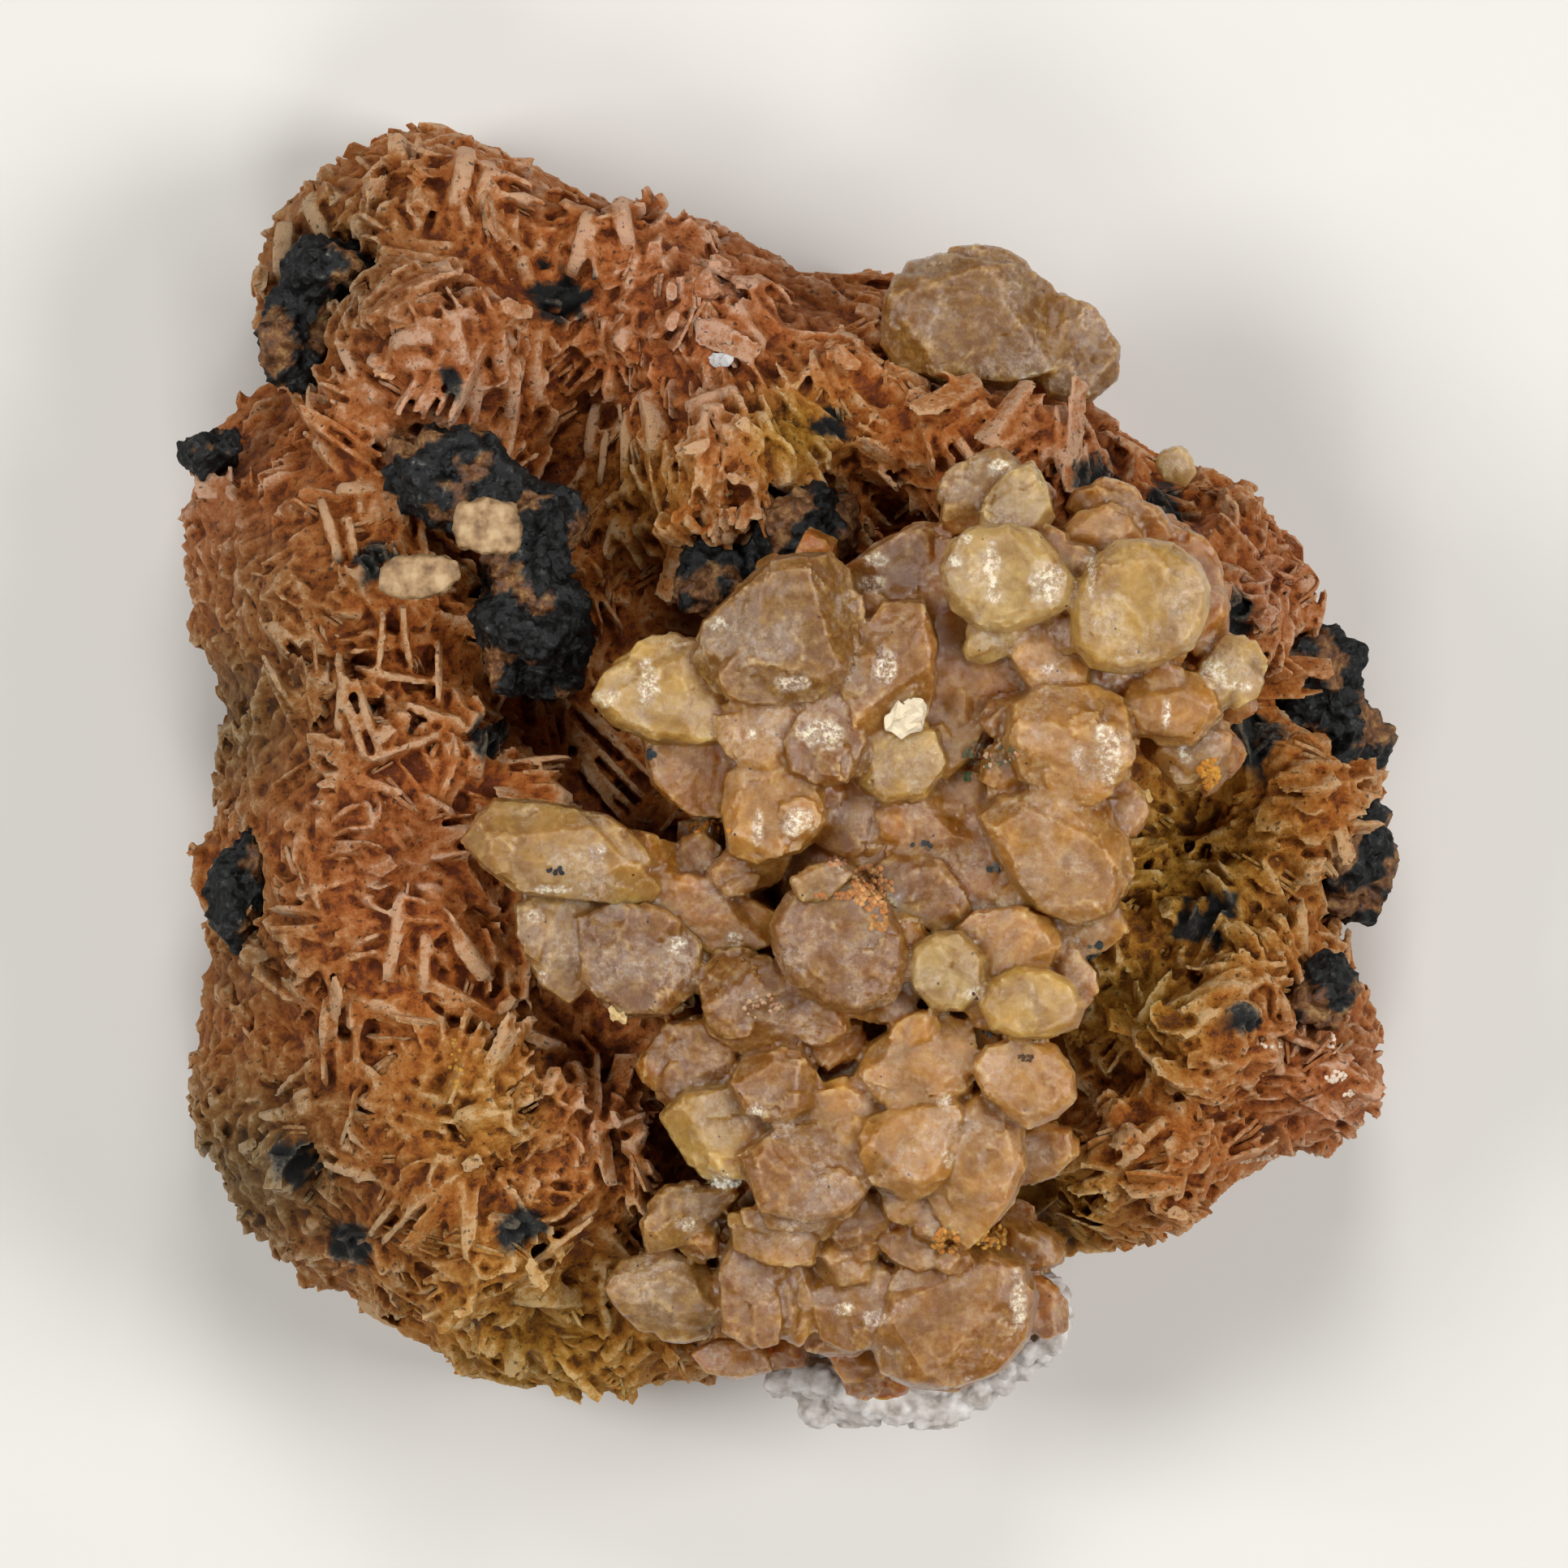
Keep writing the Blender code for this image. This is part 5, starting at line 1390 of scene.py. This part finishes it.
def add_sheaf(blades, pick, point, outward, along, count, length, spacing, opening, thick=BLADE_THICKNESS):
    """A few blades side by side that open a little like the pages of a book."""
    across = outward.cross(along).normalized()
    for k in range(count):
        step = k - (count - 1) / 2
        lean = math.radians(opening * step + pick.gauss(0, 5))
        swing = math.radians(pick.gauss(0, 7))
        out = (Matrix.Rotation(lean, 3, along) @ outward).normalized()
        way = Matrix.Rotation(swing, 3, out) @ along
        size = length * pick.uniform(0.75, 1.15)
        height = min(size * pick.uniform(0.4, 0.7), BLADE_HIGHEST)
        spot = point + across * step * spacing - outward * height * pick.uniform(0.1, 0.25)
        spot = spot + way * pick.gauss(0, 0.12) * size
        blades.add(spot, out, way, size, height, pick.uniform(*thick), pick.random())


def surface_spots(mesh, count, pick):
    """Random points on a mesh, evenly by area, with the normals there, in millimetres."""
    areas = np.empty(len(mesh.polygons), np.float32)
    mesh.polygons.foreach_get("area", areas)
    total = np.cumsum(areas)
    for _ in range(count):
        polygon = mesh.polygons[int(np.searchsorted(total, pick.random() * total[-1]))]
        yield polygon.center / MM, polygon.normal.copy()


def add_bar(blades, pick, carrier, bar, petals):
    """A long bar, or a rounded plate on its edge, that lies on the face between two places."""
    x0, y0, x1, y1, thickness, *high = bar
    ends = []
    for x, y in ((x0, y0), (x1, y1)):
        spot = on_sheet(x, y, FOCUS_HEIGHT)
        hit = from_above(carrier, spot.x, spot.y)[0]
        if not hit:
            return
        ends.append(hit)
    along = ends[1] - ends[0]
    if abs(along.z) > BAR_STEEPEST * math.hypot(along.x, along.y):
        return
    lean = Vector((pick.gauss(0, BAR_LEAN), pick.gauss(0, BAR_LEAN), 1))
    outward = (lean - along * lean.dot(along) / along.length_squared).normalized()
    height = high[0] if high else BAR_HEIGHT + BAR_HEIGHT_MORE * pick.random()
    middle = (ends[0] + ends[1]) / 2 - outward * height * (PETAL_SUNK if high else BAR_SUNK)
    form = pick.choice(petals) if high else None
    tint = pick.uniform(0.5, 1)
    blades.add(middle, outward, along.normalized(), along.length * 1.05, height, thickness, tint, form)


def barite_blades(grounds, material):
    """Sheaves of blades all over the ground: the thick ones grow together with it and thin slivers
    stand between them on the crystal face."""
    pick = random.Random(11)
    forms = [blade_form(seed) for seed in range(BLADE_FORMS)]
    carrier = tree_of("barite_mass")
    grown = {name: Blades(forms, pick, carrier) for name in PARTS}
    slivers = Blades(forms, pick, carrier)
    mound = tree_of("cerussite_cluster")
    spots = []
    for ground in grounds.values():
        spots += list(surface_spots(ground.data, SHEAVES // 2, pick))
    sheaves = len(spots)
    for ground in grounds.values():
        spots += list(surface_spots(ground.data, SLIVERS // 2, pick))
    for index, (point, normal) in enumerate(spots):
        if point.z < BLADE_LOWEST or normal.z < BLADE_OVERHANG:
            continue
        if mound.find_nearest(point, BLADE_CLEAR_OF_MOUND)[0]:
            continue
        side = "left" if point.x < GROUND_PARTING else "right"
        tilt = Vector([pick.gauss(0, 0.2) for _ in range(3)])
        outward = (normal + 0.4 * UP + tilt).normalized()
        along = blade_run(point, outward, pick)
        flank = point.x < FLANK_LEFT or normal.z < FLANK_STEEP
        if index < sheaves:
            shortest, more, bias = FLANK_LENGTHS if flank else BLADE_LENGTHS
            length = shortest + more * pick.random() ** bias
            count = pick.choice(SHEAF_COUNTS)
            spacing = SHEAF_SPACING * pick.uniform(0.8, 1.2)
            opening = pick.uniform(*SHEAF_OPENING)
            add_sheaf(grown[side], pick, point, outward, along, count, length, spacing, opening)
        elif not flank:
            shortest, more, bias = SLIVER_LENGTHS
            length = shortest + more * pick.random() ** bias
            spacing = 0.5 * SHEAF_SPACING
            add_sheaf(slivers, pick, point, outward, along, 2, length, spacing, 6, SLIVER_THICKNESS)
    petals = [petal_form(seed) for seed in range(4)]
    for bar in BARS + PETALS:
        side = "left" if on_sheet(bar[0], bar[1], FOCUS_HEIGHT).x < GROUND_PARTING else "right"
        add_bar(grown[side], pick, carrier, bar, petals)
    for side, ground in grounds.items():
        grow_barite(ground, grown[side])
    slivers.piece("barite_slivers", material)


def on_sheet(x, y, z):
    """The point at height z that shows at a place on the sheet of outlines."""
    shrink = (EYE[2] - z) / (EYE[2] - FOCUS_HEIGHT) / SHEET_SCALE
    return Vector((EYE[0] + (x - SHEET_MIDDLE[0]) * shrink, EYE[1] - (y - SHEET_MIDDLE[1]) * shrink, z))


def stand(outline, top, tint, form=BLOCK):
    """A crystal's facts: its corners in millimetres, their middle, its reach, axis, tint and form, and
    whether smaller crystals grow beside it."""
    corners = [on_sheet(x, y, top) for x, y in outline]
    middle = sum(corners, Vector()) / len(corners)
    reach = sum((c - middle).length for c in corners) / len(corners)
    kind = {"tint": tint, "form": form, "plated": form is BLOCK}
    return {"corners": corners, "middle": middle, "reach": reach, "axis": UP, **kind}


def small_stand(spot, axis, size, tint, pick):
    """The facts of a small crystal that stands on a spot along an axis."""
    side = axis.orthogonal().normalized()
    turn = pick.uniform(0, 2 * math.pi)
    count = pick.choice((5, 6, 7))
    corners = []
    for k in range(count):
        angle = turn + 2 * math.pi * (k + pick.uniform(-0.25, 0.25)) / count
        way = Matrix.Rotation(angle, 3, axis) @ side
        corners.append(spot + way * size * pick.uniform(0.8, 1.1))
    kind = {"tint": tint, "form": BLOCK, "plated": False}
    return {"corners": corners, "middle": spot, "reach": size, "axis": axis, **kind}


def crystal_solid(crystal, seed):
    """One crystal: rings of its outline at several depths wrapped in a hull, then cut by a few planes
    to flat faces."""
    pick = random.Random(seed)
    middle = crystal["middle"]
    reach = crystal["reach"]
    axis = crystal["axis"]
    form = crystal["form"]
    lean = Vector((pick.uniform(-0.22, 0.22), pick.uniform(-0.22, 0.22), 0)) * reach
    bm = bmesh.new()
    for depth, share in form["rings"]:
        for corner in crystal["corners"]:
            ragged = share * (1 + pick.uniform(-0.03, 0.03))
            shifted = middle + (corner - middle) * ragged + lean * (1 - min(share, 1))
            bm.verts.new(shifted - axis * depth * reach)
    hull = bmesh.ops.convex_hull(bm, input=bm.verts)
    spare = [g for g in hull["geom_interior"] + hull["geom_unused"] if isinstance(g, bmesh.types.BMVert)]
    bmesh.ops.delete(bm, geom=list(set(spare)), context="VERTS")
    for _ in range(form["cuts"]):
        slope = math.radians(pick.uniform(*form["slopes"]))
        azimuth = pick.uniform(0, 2 * math.pi)
        flat = math.sin(slope)
        way = Vector((flat * math.cos(azimuth), flat * math.sin(azimuth), math.cos(slope)))
        way = axis.to_track_quat("Z", "Y") @ way
        deep = pick.uniform(*form["depths"])
        far = max(v.co.dot(way) for v in bm.verts) - reach * deep
        bmesh.ops.contextual_create(bm, geom=cut_away(bm, way * far, way))
    bmesh.ops.recalc_face_normals(bm, faces=bm.faces)
    bmesh.ops.triangulate(bm, faces=bm.faces)
    mesh = bpy.data.meshes.new("crystal")
    bm.to_mesh(mesh)
    bm.free()
    return mesh


def growth_plates(crystal, pick):
    """Crystals in parallel growth with a larger one: low steps on its top and shoulders at its sides."""
    middle = crystal["middle"]
    reach = crystal["reach"]
    axis = crystal["axis"]
    plates = []
    for size, away, rise in GROWTH_PLATES:
        angle = pick.uniform(0, 2 * math.pi)
        shift = axis.orthogonal().normalized() * reach * away
        shift = Matrix.Rotation(angle, 3, axis) @ shift + axis * rise * reach * pick.uniform(0.6, 1.3)
        share = size * pick.uniform(0.85, 1.15)
        corners = [middle + shift + (corner - middle) * share for corner in crystal["corners"]]
        plates.append(dict(crystal, corners=corners, middle=middle + shift, reach=reach * share))
    return plates


def paint_crystals(mesh, crystals, owner, seed):
    """Gives each crystal its own colour and a direction for its growth lines."""
    pick = random.Random(seed)
    colours = []
    runs = []
    for crystal in crystals:
        light = pick.uniform(0.88, 1.1)
        colours.append([c * light for c in linear(CERUSSITE_TINTS[crystal["tint"]])])
        turn = Matrix.Rotation(pick.uniform(0, math.pi), 3, crystal["axis"])
        runs.append(list(turn @ crystal["axis"].orthogonal().normalized()))
    colour = smoothed(mesh, np.array(colours)[owner], 2)
    colour = np.concatenate([colour, np.ones((len(colour), 1))], 1)
    set_attribute(mesh, "own_colour", colour, "FLOAT_COLOR")
    set_attribute(mesh, "growth_run", np.array(runs)[owner], "FLOAT_VECTOR")


def thin_out(piece, weights, ratio):
    """Takes most of the triangles out of the parts of a piece that nobody sees."""
    group = piece.vertex_groups.new(name="unseen")
    group.add([int(k) for k in np.flatnonzero(weights)], 1.0, "REPLACE")
    fewer = piece.modifiers.new("fewer", "DECIMATE")
    fewer.ratio = ratio
    fewer.vertex_group = "unseen"
    settle(piece)
    piece.vertex_groups.clear()


def depth_below_top(tree, co):
    """How deep each point lies below the smoothed top that is seen from above."""
    low = BOX_LOW[:2]
    size = np.ceil((BOX_HIGH[:2] - low) / DEPTH_GRID).astype(int) + 1
    height = np.zeros(size)
    found = np.zeros(size)
    for i in range(size[0]):
        for j in range(size[1]):
            hit = from_above(tree, low[0] + i * DEPTH_GRID, low[1] + j * DEPTH_GRID)[0]
            if hit:
                height[i, j] = hit.z
                found[i, j] = 1
    for _ in range(DEPTH_ROUNDS):
        for axis in (0, 1):
            height = (height + np.roll(height, 1, axis) + np.roll(height, -1, axis)) / 3
            found = (found + np.roll(found, 1, axis) + np.roll(found, -1, axis)) / 3
    i = np.clip(((co[:, 0] - low[0]) / DEPTH_GRID).round().astype(int), 0, size[0] - 1)
    j = np.clip(((co[:, 1] - low[1]) / DEPTH_GRID).round().astype(int), 0, size[1] - 1)
    return height[i, j] / np.maximum(found[i, j], 1e-6) - co[:, 2]


def flash_weight(co):
    """How much each point lies in a painted white highlight."""
    scale = SHEET_SCALE * (EYE[2] - FOCUS_HEIGHT) / (EYE[2] - co[:, 2])
    x = SHEET_MIDDLE[0] + (co[:, 0] - EYE[0]) * scale
    y = SHEET_MIDDLE[1] - (co[:, 1] - EYE[1]) * scale
    weight = np.zeros(len(co))
    for at_x, at_y, half_x, half_y in FLASHES:
        away = ((x - at_x) / half_x) ** 2 + ((y - at_y) / half_y) ** 2
        weight = np.maximum(weight, FLASH_REACH - away)
    for index in np.flatnonzero(weight > 0):
        weight[index] += FLASH_RAGGED * noise.noise(Vector(co[index]) / FLASH_RAGGED_SIZE)
    return np.clip(weight, 0, 1)


def broken_faces(point):
    """Height of the small flat faces that a crystal surface breaks into, each tilted its own way."""
    height = FACE_GRAIN * noise.noise(point / FACE_GRAIN_SIZE)
    for size, steep in FACE_BREAKS:
        centre = noise.voronoi(point / size)[1][0]
        tilt = noise.noise_vector(centre * 3.7 + Vector((0.3, 0.6, 0.1)))
        height += steep * tilt.dot(point - centre * size)
    return height


def grow_crystals(name, crystals, cores, material):
    """Grows crystals and cores into each other in one piece, roughens its faces and paints it."""
    bm = bmesh.new()
    pick = random.Random(7)
    grown = []
    for crystal in crystals:
        grown.append(crystal)
        if crystal["plated"]:
            grown += growth_plates(crystal, pick)
    owners = []
    for seed, crystal in enumerate(grown):
        bm.from_mesh(crystal_solid(crystal, seed))
        owners += [seed] * (len(bm.faces) - len(owners))
    for x, y, z, rx, ry, rz, turn in cores:
        turned = Euler((0, 0, math.radians(turn))).to_matrix().to_4x4()
        shape = Matrix.Translation((x, y, z)) @ turned @ Matrix.Diagonal((rx, ry, rz, 1.0))
        bmesh.ops.create_icosphere(bm, subdivisions=4, radius=1.0, matrix=shape)
        owners += [len(grown)] * (len(bm.faces) - len(owners))
    grown.append({"tint": "amber", "axis": UP})
    tree = BVHTree.FromBMesh(bm)
    piece = make_piece(name, bm, material)
    grow_together(piece, MOUND_VOXEL)
    co, normal = points_of(piece.data)
    depth = depth_below_top(tree, co)
    unseen = (depth > UNSEEN_DEPTH) | ((normal[:, 2] < -0.2) & (depth > UNSEEN_OVERHANG))
    if cores:
        thin_out(piece, unseen, 1 - MOUND_TAKEN * unseen.mean())
    mesh = piece.data
    co, normal = points_of(mesh)
    # The skin goes back onto the flat faces, which sharpens the edges that the joining rounded
    owner = np.zeros(len(co), int)
    for index, point in enumerate(co):
        hit, _, face, away = tree.find_nearest(Vector(point))
        owner[index] = owners[face]
        if away < 1.2 * MOUND_VOXEL:
            co[index] = hit
    co = smoothed(mesh, co, 1, 0.3)
    rough = np.array([broken_faces(Vector(p)) for p in co])
    co = move_points(mesh, co + normal * rough[:, None])
    _, normal = points_of(mesh)
    # Painted shade in the hollows between crystals, and a painted highlight on their proud edges
    painted_crevice_shade = np.clip((depth_below_top(tree, co) - 0.3) / HOLLOW_DEPTH, 0, 0.8)
    painted_crevice_shade = painted_crevice_shade + np.clip(-proud(mesh, co, normal, 30) / HOLLOW_SUNK, 0, 0.7)
    set_attribute(mesh, "painted_crevice_shade", np.clip(painted_crevice_shade, 0, 1))
    set_attribute(mesh, "edge", np.clip((proud(mesh, co, normal, 3) - 0.015) / EDGE_PROUD, 0, 1))
    # Painted highlights in the white flashes
    set_attribute(mesh, "painted_highlight", flash_weight(co))
    paint_crystals(mesh, grown, owner, 3)
    mesh.set_sharp_from_angle(angle=math.radians(SHARP_ANGLE))
    return piece


def core_height(x, y):
    """Height of the top of the mound's cores at a place, or zero beside them."""
    top = 0.0
    for cx, cy, cz, rx, ry, rz, turn in MOUND:
        angle = math.radians(turn)
        along = ((x - cx) * math.cos(angle) + (y - cy) * math.sin(angle)) / rx
        across = ((y - cy) * math.cos(angle) - (x - cx) * math.sin(angle)) / ry
        left = 1 - along * along - across * across
        if left > 0:
            top = max(top, cz + rz * math.sqrt(left))
    return top


def fill_crystals(pick, mains):
    """Small crystals for the gaps and flanks of the mound, so that none of its core shows. In a gap
    they reach nearly as high as the crystals round it."""
    made = []
    steps = int(40 / FILL_GRID)
    for row in range(-steps, steps):
        for column in range(-steps, steps):
            x = (column + pick.uniform(-0.4, 0.4)) * FILL_GRID
            y = (row + pick.uniform(-0.4, 0.4)) * FILL_GRID
            if core_height(x, y) < FILL_CORE:
                continue
            near = []
            for main in mains:
                middle = main["middle"]
                near.append((math.hypot(middle.x - x, middle.y - y) / main["reach"], middle.z))
            near.sort()
            if near[0][0] < 0.8:
                continue
            level = sum(top for _, top in near[:3]) / 3
            axis = Vector((pick.gauss(0, 0.3), pick.gauss(0, 0.3), 1)).normalized()
            spot = Vector((x, y, level - pick.uniform(0.4, 1.6)))
            small = small_stand(spot, axis, pick.uniform(*FILL_SIZES), pick.choice(FILL_TINTS), pick)
            if stays_clear(spot):
                made.append(small)
    skin = frame["nodes"]["cerussite_cluster"].data
    flank = 0
    for point, normal in surface_spots(skin, FILL_CRYSTALS * 4, pick):
        if flank >= FILL_CRYSTALS:
            break
        if point.z > FILL_HIGHEST or not -0.5 < normal.z < 0.6:
            continue
        flank += 1
        outward = (normal + 0.4 * UP).normalized()
        spot = point - outward * 0.2
        small = small_stand(spot, outward, pick.uniform(*FILL_SIZES), pick.choice(FILL_TINTS), pick)
        if stays_clear(point):
            made.append(small)
    return made


def stays_clear(point):
    """Whether no place that stays free of small crystals is near."""
    return all((point - on_sheet(x, y, point.z)).length > reach for x, y, reach in FREE_OF_FILL)


def cerussite_mound(material):
    """The mound: all its crystals and small ones between them, grown together in two parts."""
    crystals = []
    for name, (top, tint, outline) in CRYSTALS.items():
        crystals.append(stand(outline, top, tint, DISC if name in DISCS else BLOCK))
    crystals += fill_crystals(random.Random(5), crystals)
    upper = [c for c in crystals if c["middle"].y >= MOUND_PARTING]
    lower = [c for c in crystals if c["middle"].y < MOUND_PARTING]
    for name, part, cores in (("upper", upper, MOUND[:3]), ("lower", lower, MOUND[3:])):
        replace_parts(grow_crystals("cerussite_mound_" + name, part, cores, material), "cerussite_cluster")


def single_cerussite(node, material):
    """A cerussite that stands by itself."""
    crystals = [stand(outline, top, tint) for top, tint, outline in SINGLE_CRYSTALS[node]]
    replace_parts(grow_crystals(node + "_crystal", crystals, (), material), node)


def galena_lump(node, material):
    """A lump of galena grains: the CAD lump with cubic grains raised on it."""
    piece = merged_copy(node, node + "_grains", material)
    grow_together(piece, GALENA_VOXEL)
    mesh = piece.data
    co, normal = points_of(mesh)
    co = smoothed(mesh, co, 2)
    lift = []
    rust = []
    for point in co:
        point = Vector(point)
        cells = noise.voronoi(point / GALENA_GRAIN)[0]
        broad = noise.fractal(point / GALENA_LOBE, 0.8, 2.0, 4)
        fine = noise.noise(point / FINE_GRAIN)
        lift.append(0.9 * broad + 0.25 * (cells[1] - cells[0]) + 0.2 * fine - 0.15)
        rust.append(noise.fractal(point / RUST_PATCH + Vector((3, 1, 7)), 0.8, 2.0, 4))
    move_points(mesh, co + normal * np.array(lift)[:, None])
    rusty = np.array(rust) + GALENA_RUST.get(node, 0.0)
    set_attribute(mesh, "rust", np.clip((rusty - 0.22) / 0.1, 0, 1))
    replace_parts(piece, node)


def tablet(name, corners, high, thick, material):
    """A flat granular block that lies on the specimen with its top at a height."""
    bm = bmesh.new()
    raise_plate(bm, [bm.verts.new(on_sheet(x, y, high)) for x, y in corners], -thick)
    bmesh.ops.recalc_face_normals(bm, faces=bm.faces)
    piece = make_piece(name, bm, material)
    grow_together(piece, TABLET_VOXEL)
    mesh = piece.data
    co, normal = points_of(mesh)
    co = smoothed(mesh, co, 1)
    lift = [TABLET_GRAIN * noise.fractal(Vector(p) / TABLET_GRAIN_SIZE, 0.7, 2.0, 3) for p in co]
    move_points(mesh, co + normal * np.array(lift)[:, None])
    return piece


def dust(trees, material):
    """Grains and flakes that lie on the crystals where the light from above meets them."""
    pick = random.Random(23)
    bm = bmesh.new()
    colours = []
    for x, y, half_x, half_y, count, size, tones in CLUMPS:
        # A flake lies alone, flat and as long as its place, and grains lie in a heap
        alone = count == 1
        stretch = math.sqrt(half_x / half_y) if alone else 1.0
        high = 0.4 if alone else 0.7
        for _ in range(count):
            angle = pick.uniform(0, 2 * math.pi)
            away = 0 if alone else math.sqrt(pick.random())
            spot = on_sheet(x + half_x * away * math.cos(angle), y + half_y * away * math.sin(angle), 25)
            hits = [from_above(tree, spot.x, spot.y) for tree in trees]
            hits = [h for h in hits if h[0]]
            if not hits:
                continue
            at, normal = max(hits, key=lambda h: h[0].z)[:2]
            wide = size * pick.uniform(0.6, 1.25)
            turn = (normal + 0.5 * UP).to_track_quat("Z", "Y").to_matrix().to_4x4()
            shape = Matrix.Diagonal((wide * stretch, wide / stretch, wide * high, 1.0))
            shape = Matrix.Translation(at) @ turn @ shape
            detail = 3 if alone else 1
            made = bmesh.ops.create_icosphere(bm, subdivisions=detail, radius=0.5, matrix=shape)["verts"]
            for vert in made:
                vert.co += 0.2 * wide * noise.noise_vector(vert.co / (0.3 * size))
            tone = linear(pick.choice(tones)) + [1.0]
            colours += [tone] * len(made)
    bmesh.ops.recalc_face_normals(bm, faces=bm.faces)
    piece = make_piece("mineral_dust", bm, material)
    set_attribute(piece.data, "own_colour", colours, "FLOAT_COLOR")


def crust_lump(material):
    """The white crust: the CAD knobs and a fringe of smaller ones with fine warts all over."""
    piece = merged_copy("white_crust", "white_crust_warts", material)
    bm = bmesh.new()
    bm.from_mesh(piece.data)
    for x, y, z, radius in CRUST_KNOBS:
        spot = Matrix.Translation(on_sheet(x, y, z) * MM)
        bmesh.ops.create_icosphere(bm, subdivisions=2, radius=radius * MM, matrix=spot)
    bm.to_mesh(piece.data)
    bm.free()
    grow_together(piece, CRUST_VOXEL)
    mesh = piece.data
    co, normal = points_of(mesh)
    lift = []
    for p in co:
        cells = noise.voronoi(Vector(p) / CRUST_WART)[0]
        lift.append(0.35 * (0.5 - cells[0]) + 0.2 * noise.noise(Vector(p) / FINE_GRAIN))
    move_points(mesh, co + normal * np.array(lift)[:, None])
    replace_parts(piece, "white_crust")


def studio(material):
    """A plain pale floor, two broad soft lights from the left and right, and two weaker ones high up
    at the back and the front, none of them where a level face would mirror it to the camera."""
    floor = bpy.data.meshes.new("floor")
    bm = bmesh.new()
    bmesh.ops.create_grid(bm, x_segments=1, y_segments=1, size=1.5)
    bm.to_mesh(floor)
    bm.free()
    floor.materials.append(material)
    board = bpy.data.objects.new("floor", floor)
    bpy.context.scene.collection.objects.link(board)
    for name, at, size, watts in (
        ("left_softbox", (-0.30, 0.02, 0.34), 0.17, 1.02),
        ("right_softbox", (0.30, 0.0, 0.34), 0.17, 1.24),
        ("back_softbox", (0.02, 0.28, 0.44), 0.15, 0.82),
        ("front_softbox", (-0.02, -0.28, 0.44), 0.15, 0.7),
    ):
        light = bpy.data.lights.new(name, "AREA")
        light.energy = watts
        light.size = size
        lamp = bpy.data.objects.new(name, light)
        bpy.context.scene.collection.objects.link(lamp)
        lamp.location = at
        lamp.rotation_euler = (Vector((0, 0, 0.015)) - Vector(at)).to_track_quat("-Z", "Y").to_euler()
    world = bpy.data.worlds.new("studio")
    world.use_nodes = True
    world.node_tree.nodes["Background"].inputs["Color"].default_value = (*linear("#E8E4DE"), 1.0)
    world.node_tree.nodes["Background"].inputs["Strength"].default_value = 0.05
    bpy.context.scene.world = world
    bpy.context.scene.view_settings.view_transform = "Standard"


def camera():
    """Straight down on the crystal face through a long lens, as the photograph looks."""
    lens = bpy.data.cameras.new("portrait")
    lens.lens = 200
    lens.sensor_width = 36
    lens.clip_start = 0.01
    lens.clip_end = 10
    view = bpy.data.objects.new("portrait", lens)
    view.location = Vector(EYE) * MM
    bpy.context.scene.collection.objects.link(view)
    bpy.context.scene.camera = view


def main():
    camera()
    barite = barite_finish()
    cerussite = cerussite_finish()
    galena = galena_finish()
    grounds = {side: barite_ground(side, barite) for side in PARTS}
    barite_blades(grounds, barite)
    cerussite_mound(cerussite)
    for node in SINGLE_CRYSTALS:
        single_cerussite(node, cerussite)
    for node in frame["nodes"]:
        if node.startswith("galena"):
            galena_lump(node, galena)
    crust_lump(crust_finish())
    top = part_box("pale_block")[1][2] / MM
    pale = pale_barite_finish()
    for name, corners in TABLETS.items():
        block = tablet(name, corners, top, TABLET_THICKNESS, pale)
        if name == "pale_tablet":
            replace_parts(block, "pale_block")
    dusty = [p for p in bpy.data.objects if p.name.startswith(("cerussite_mound_", "barite_ground_"))]
    dust([piece_tree(p) for p in dusty], dust_finish())
    studio(floor_finish())


main()
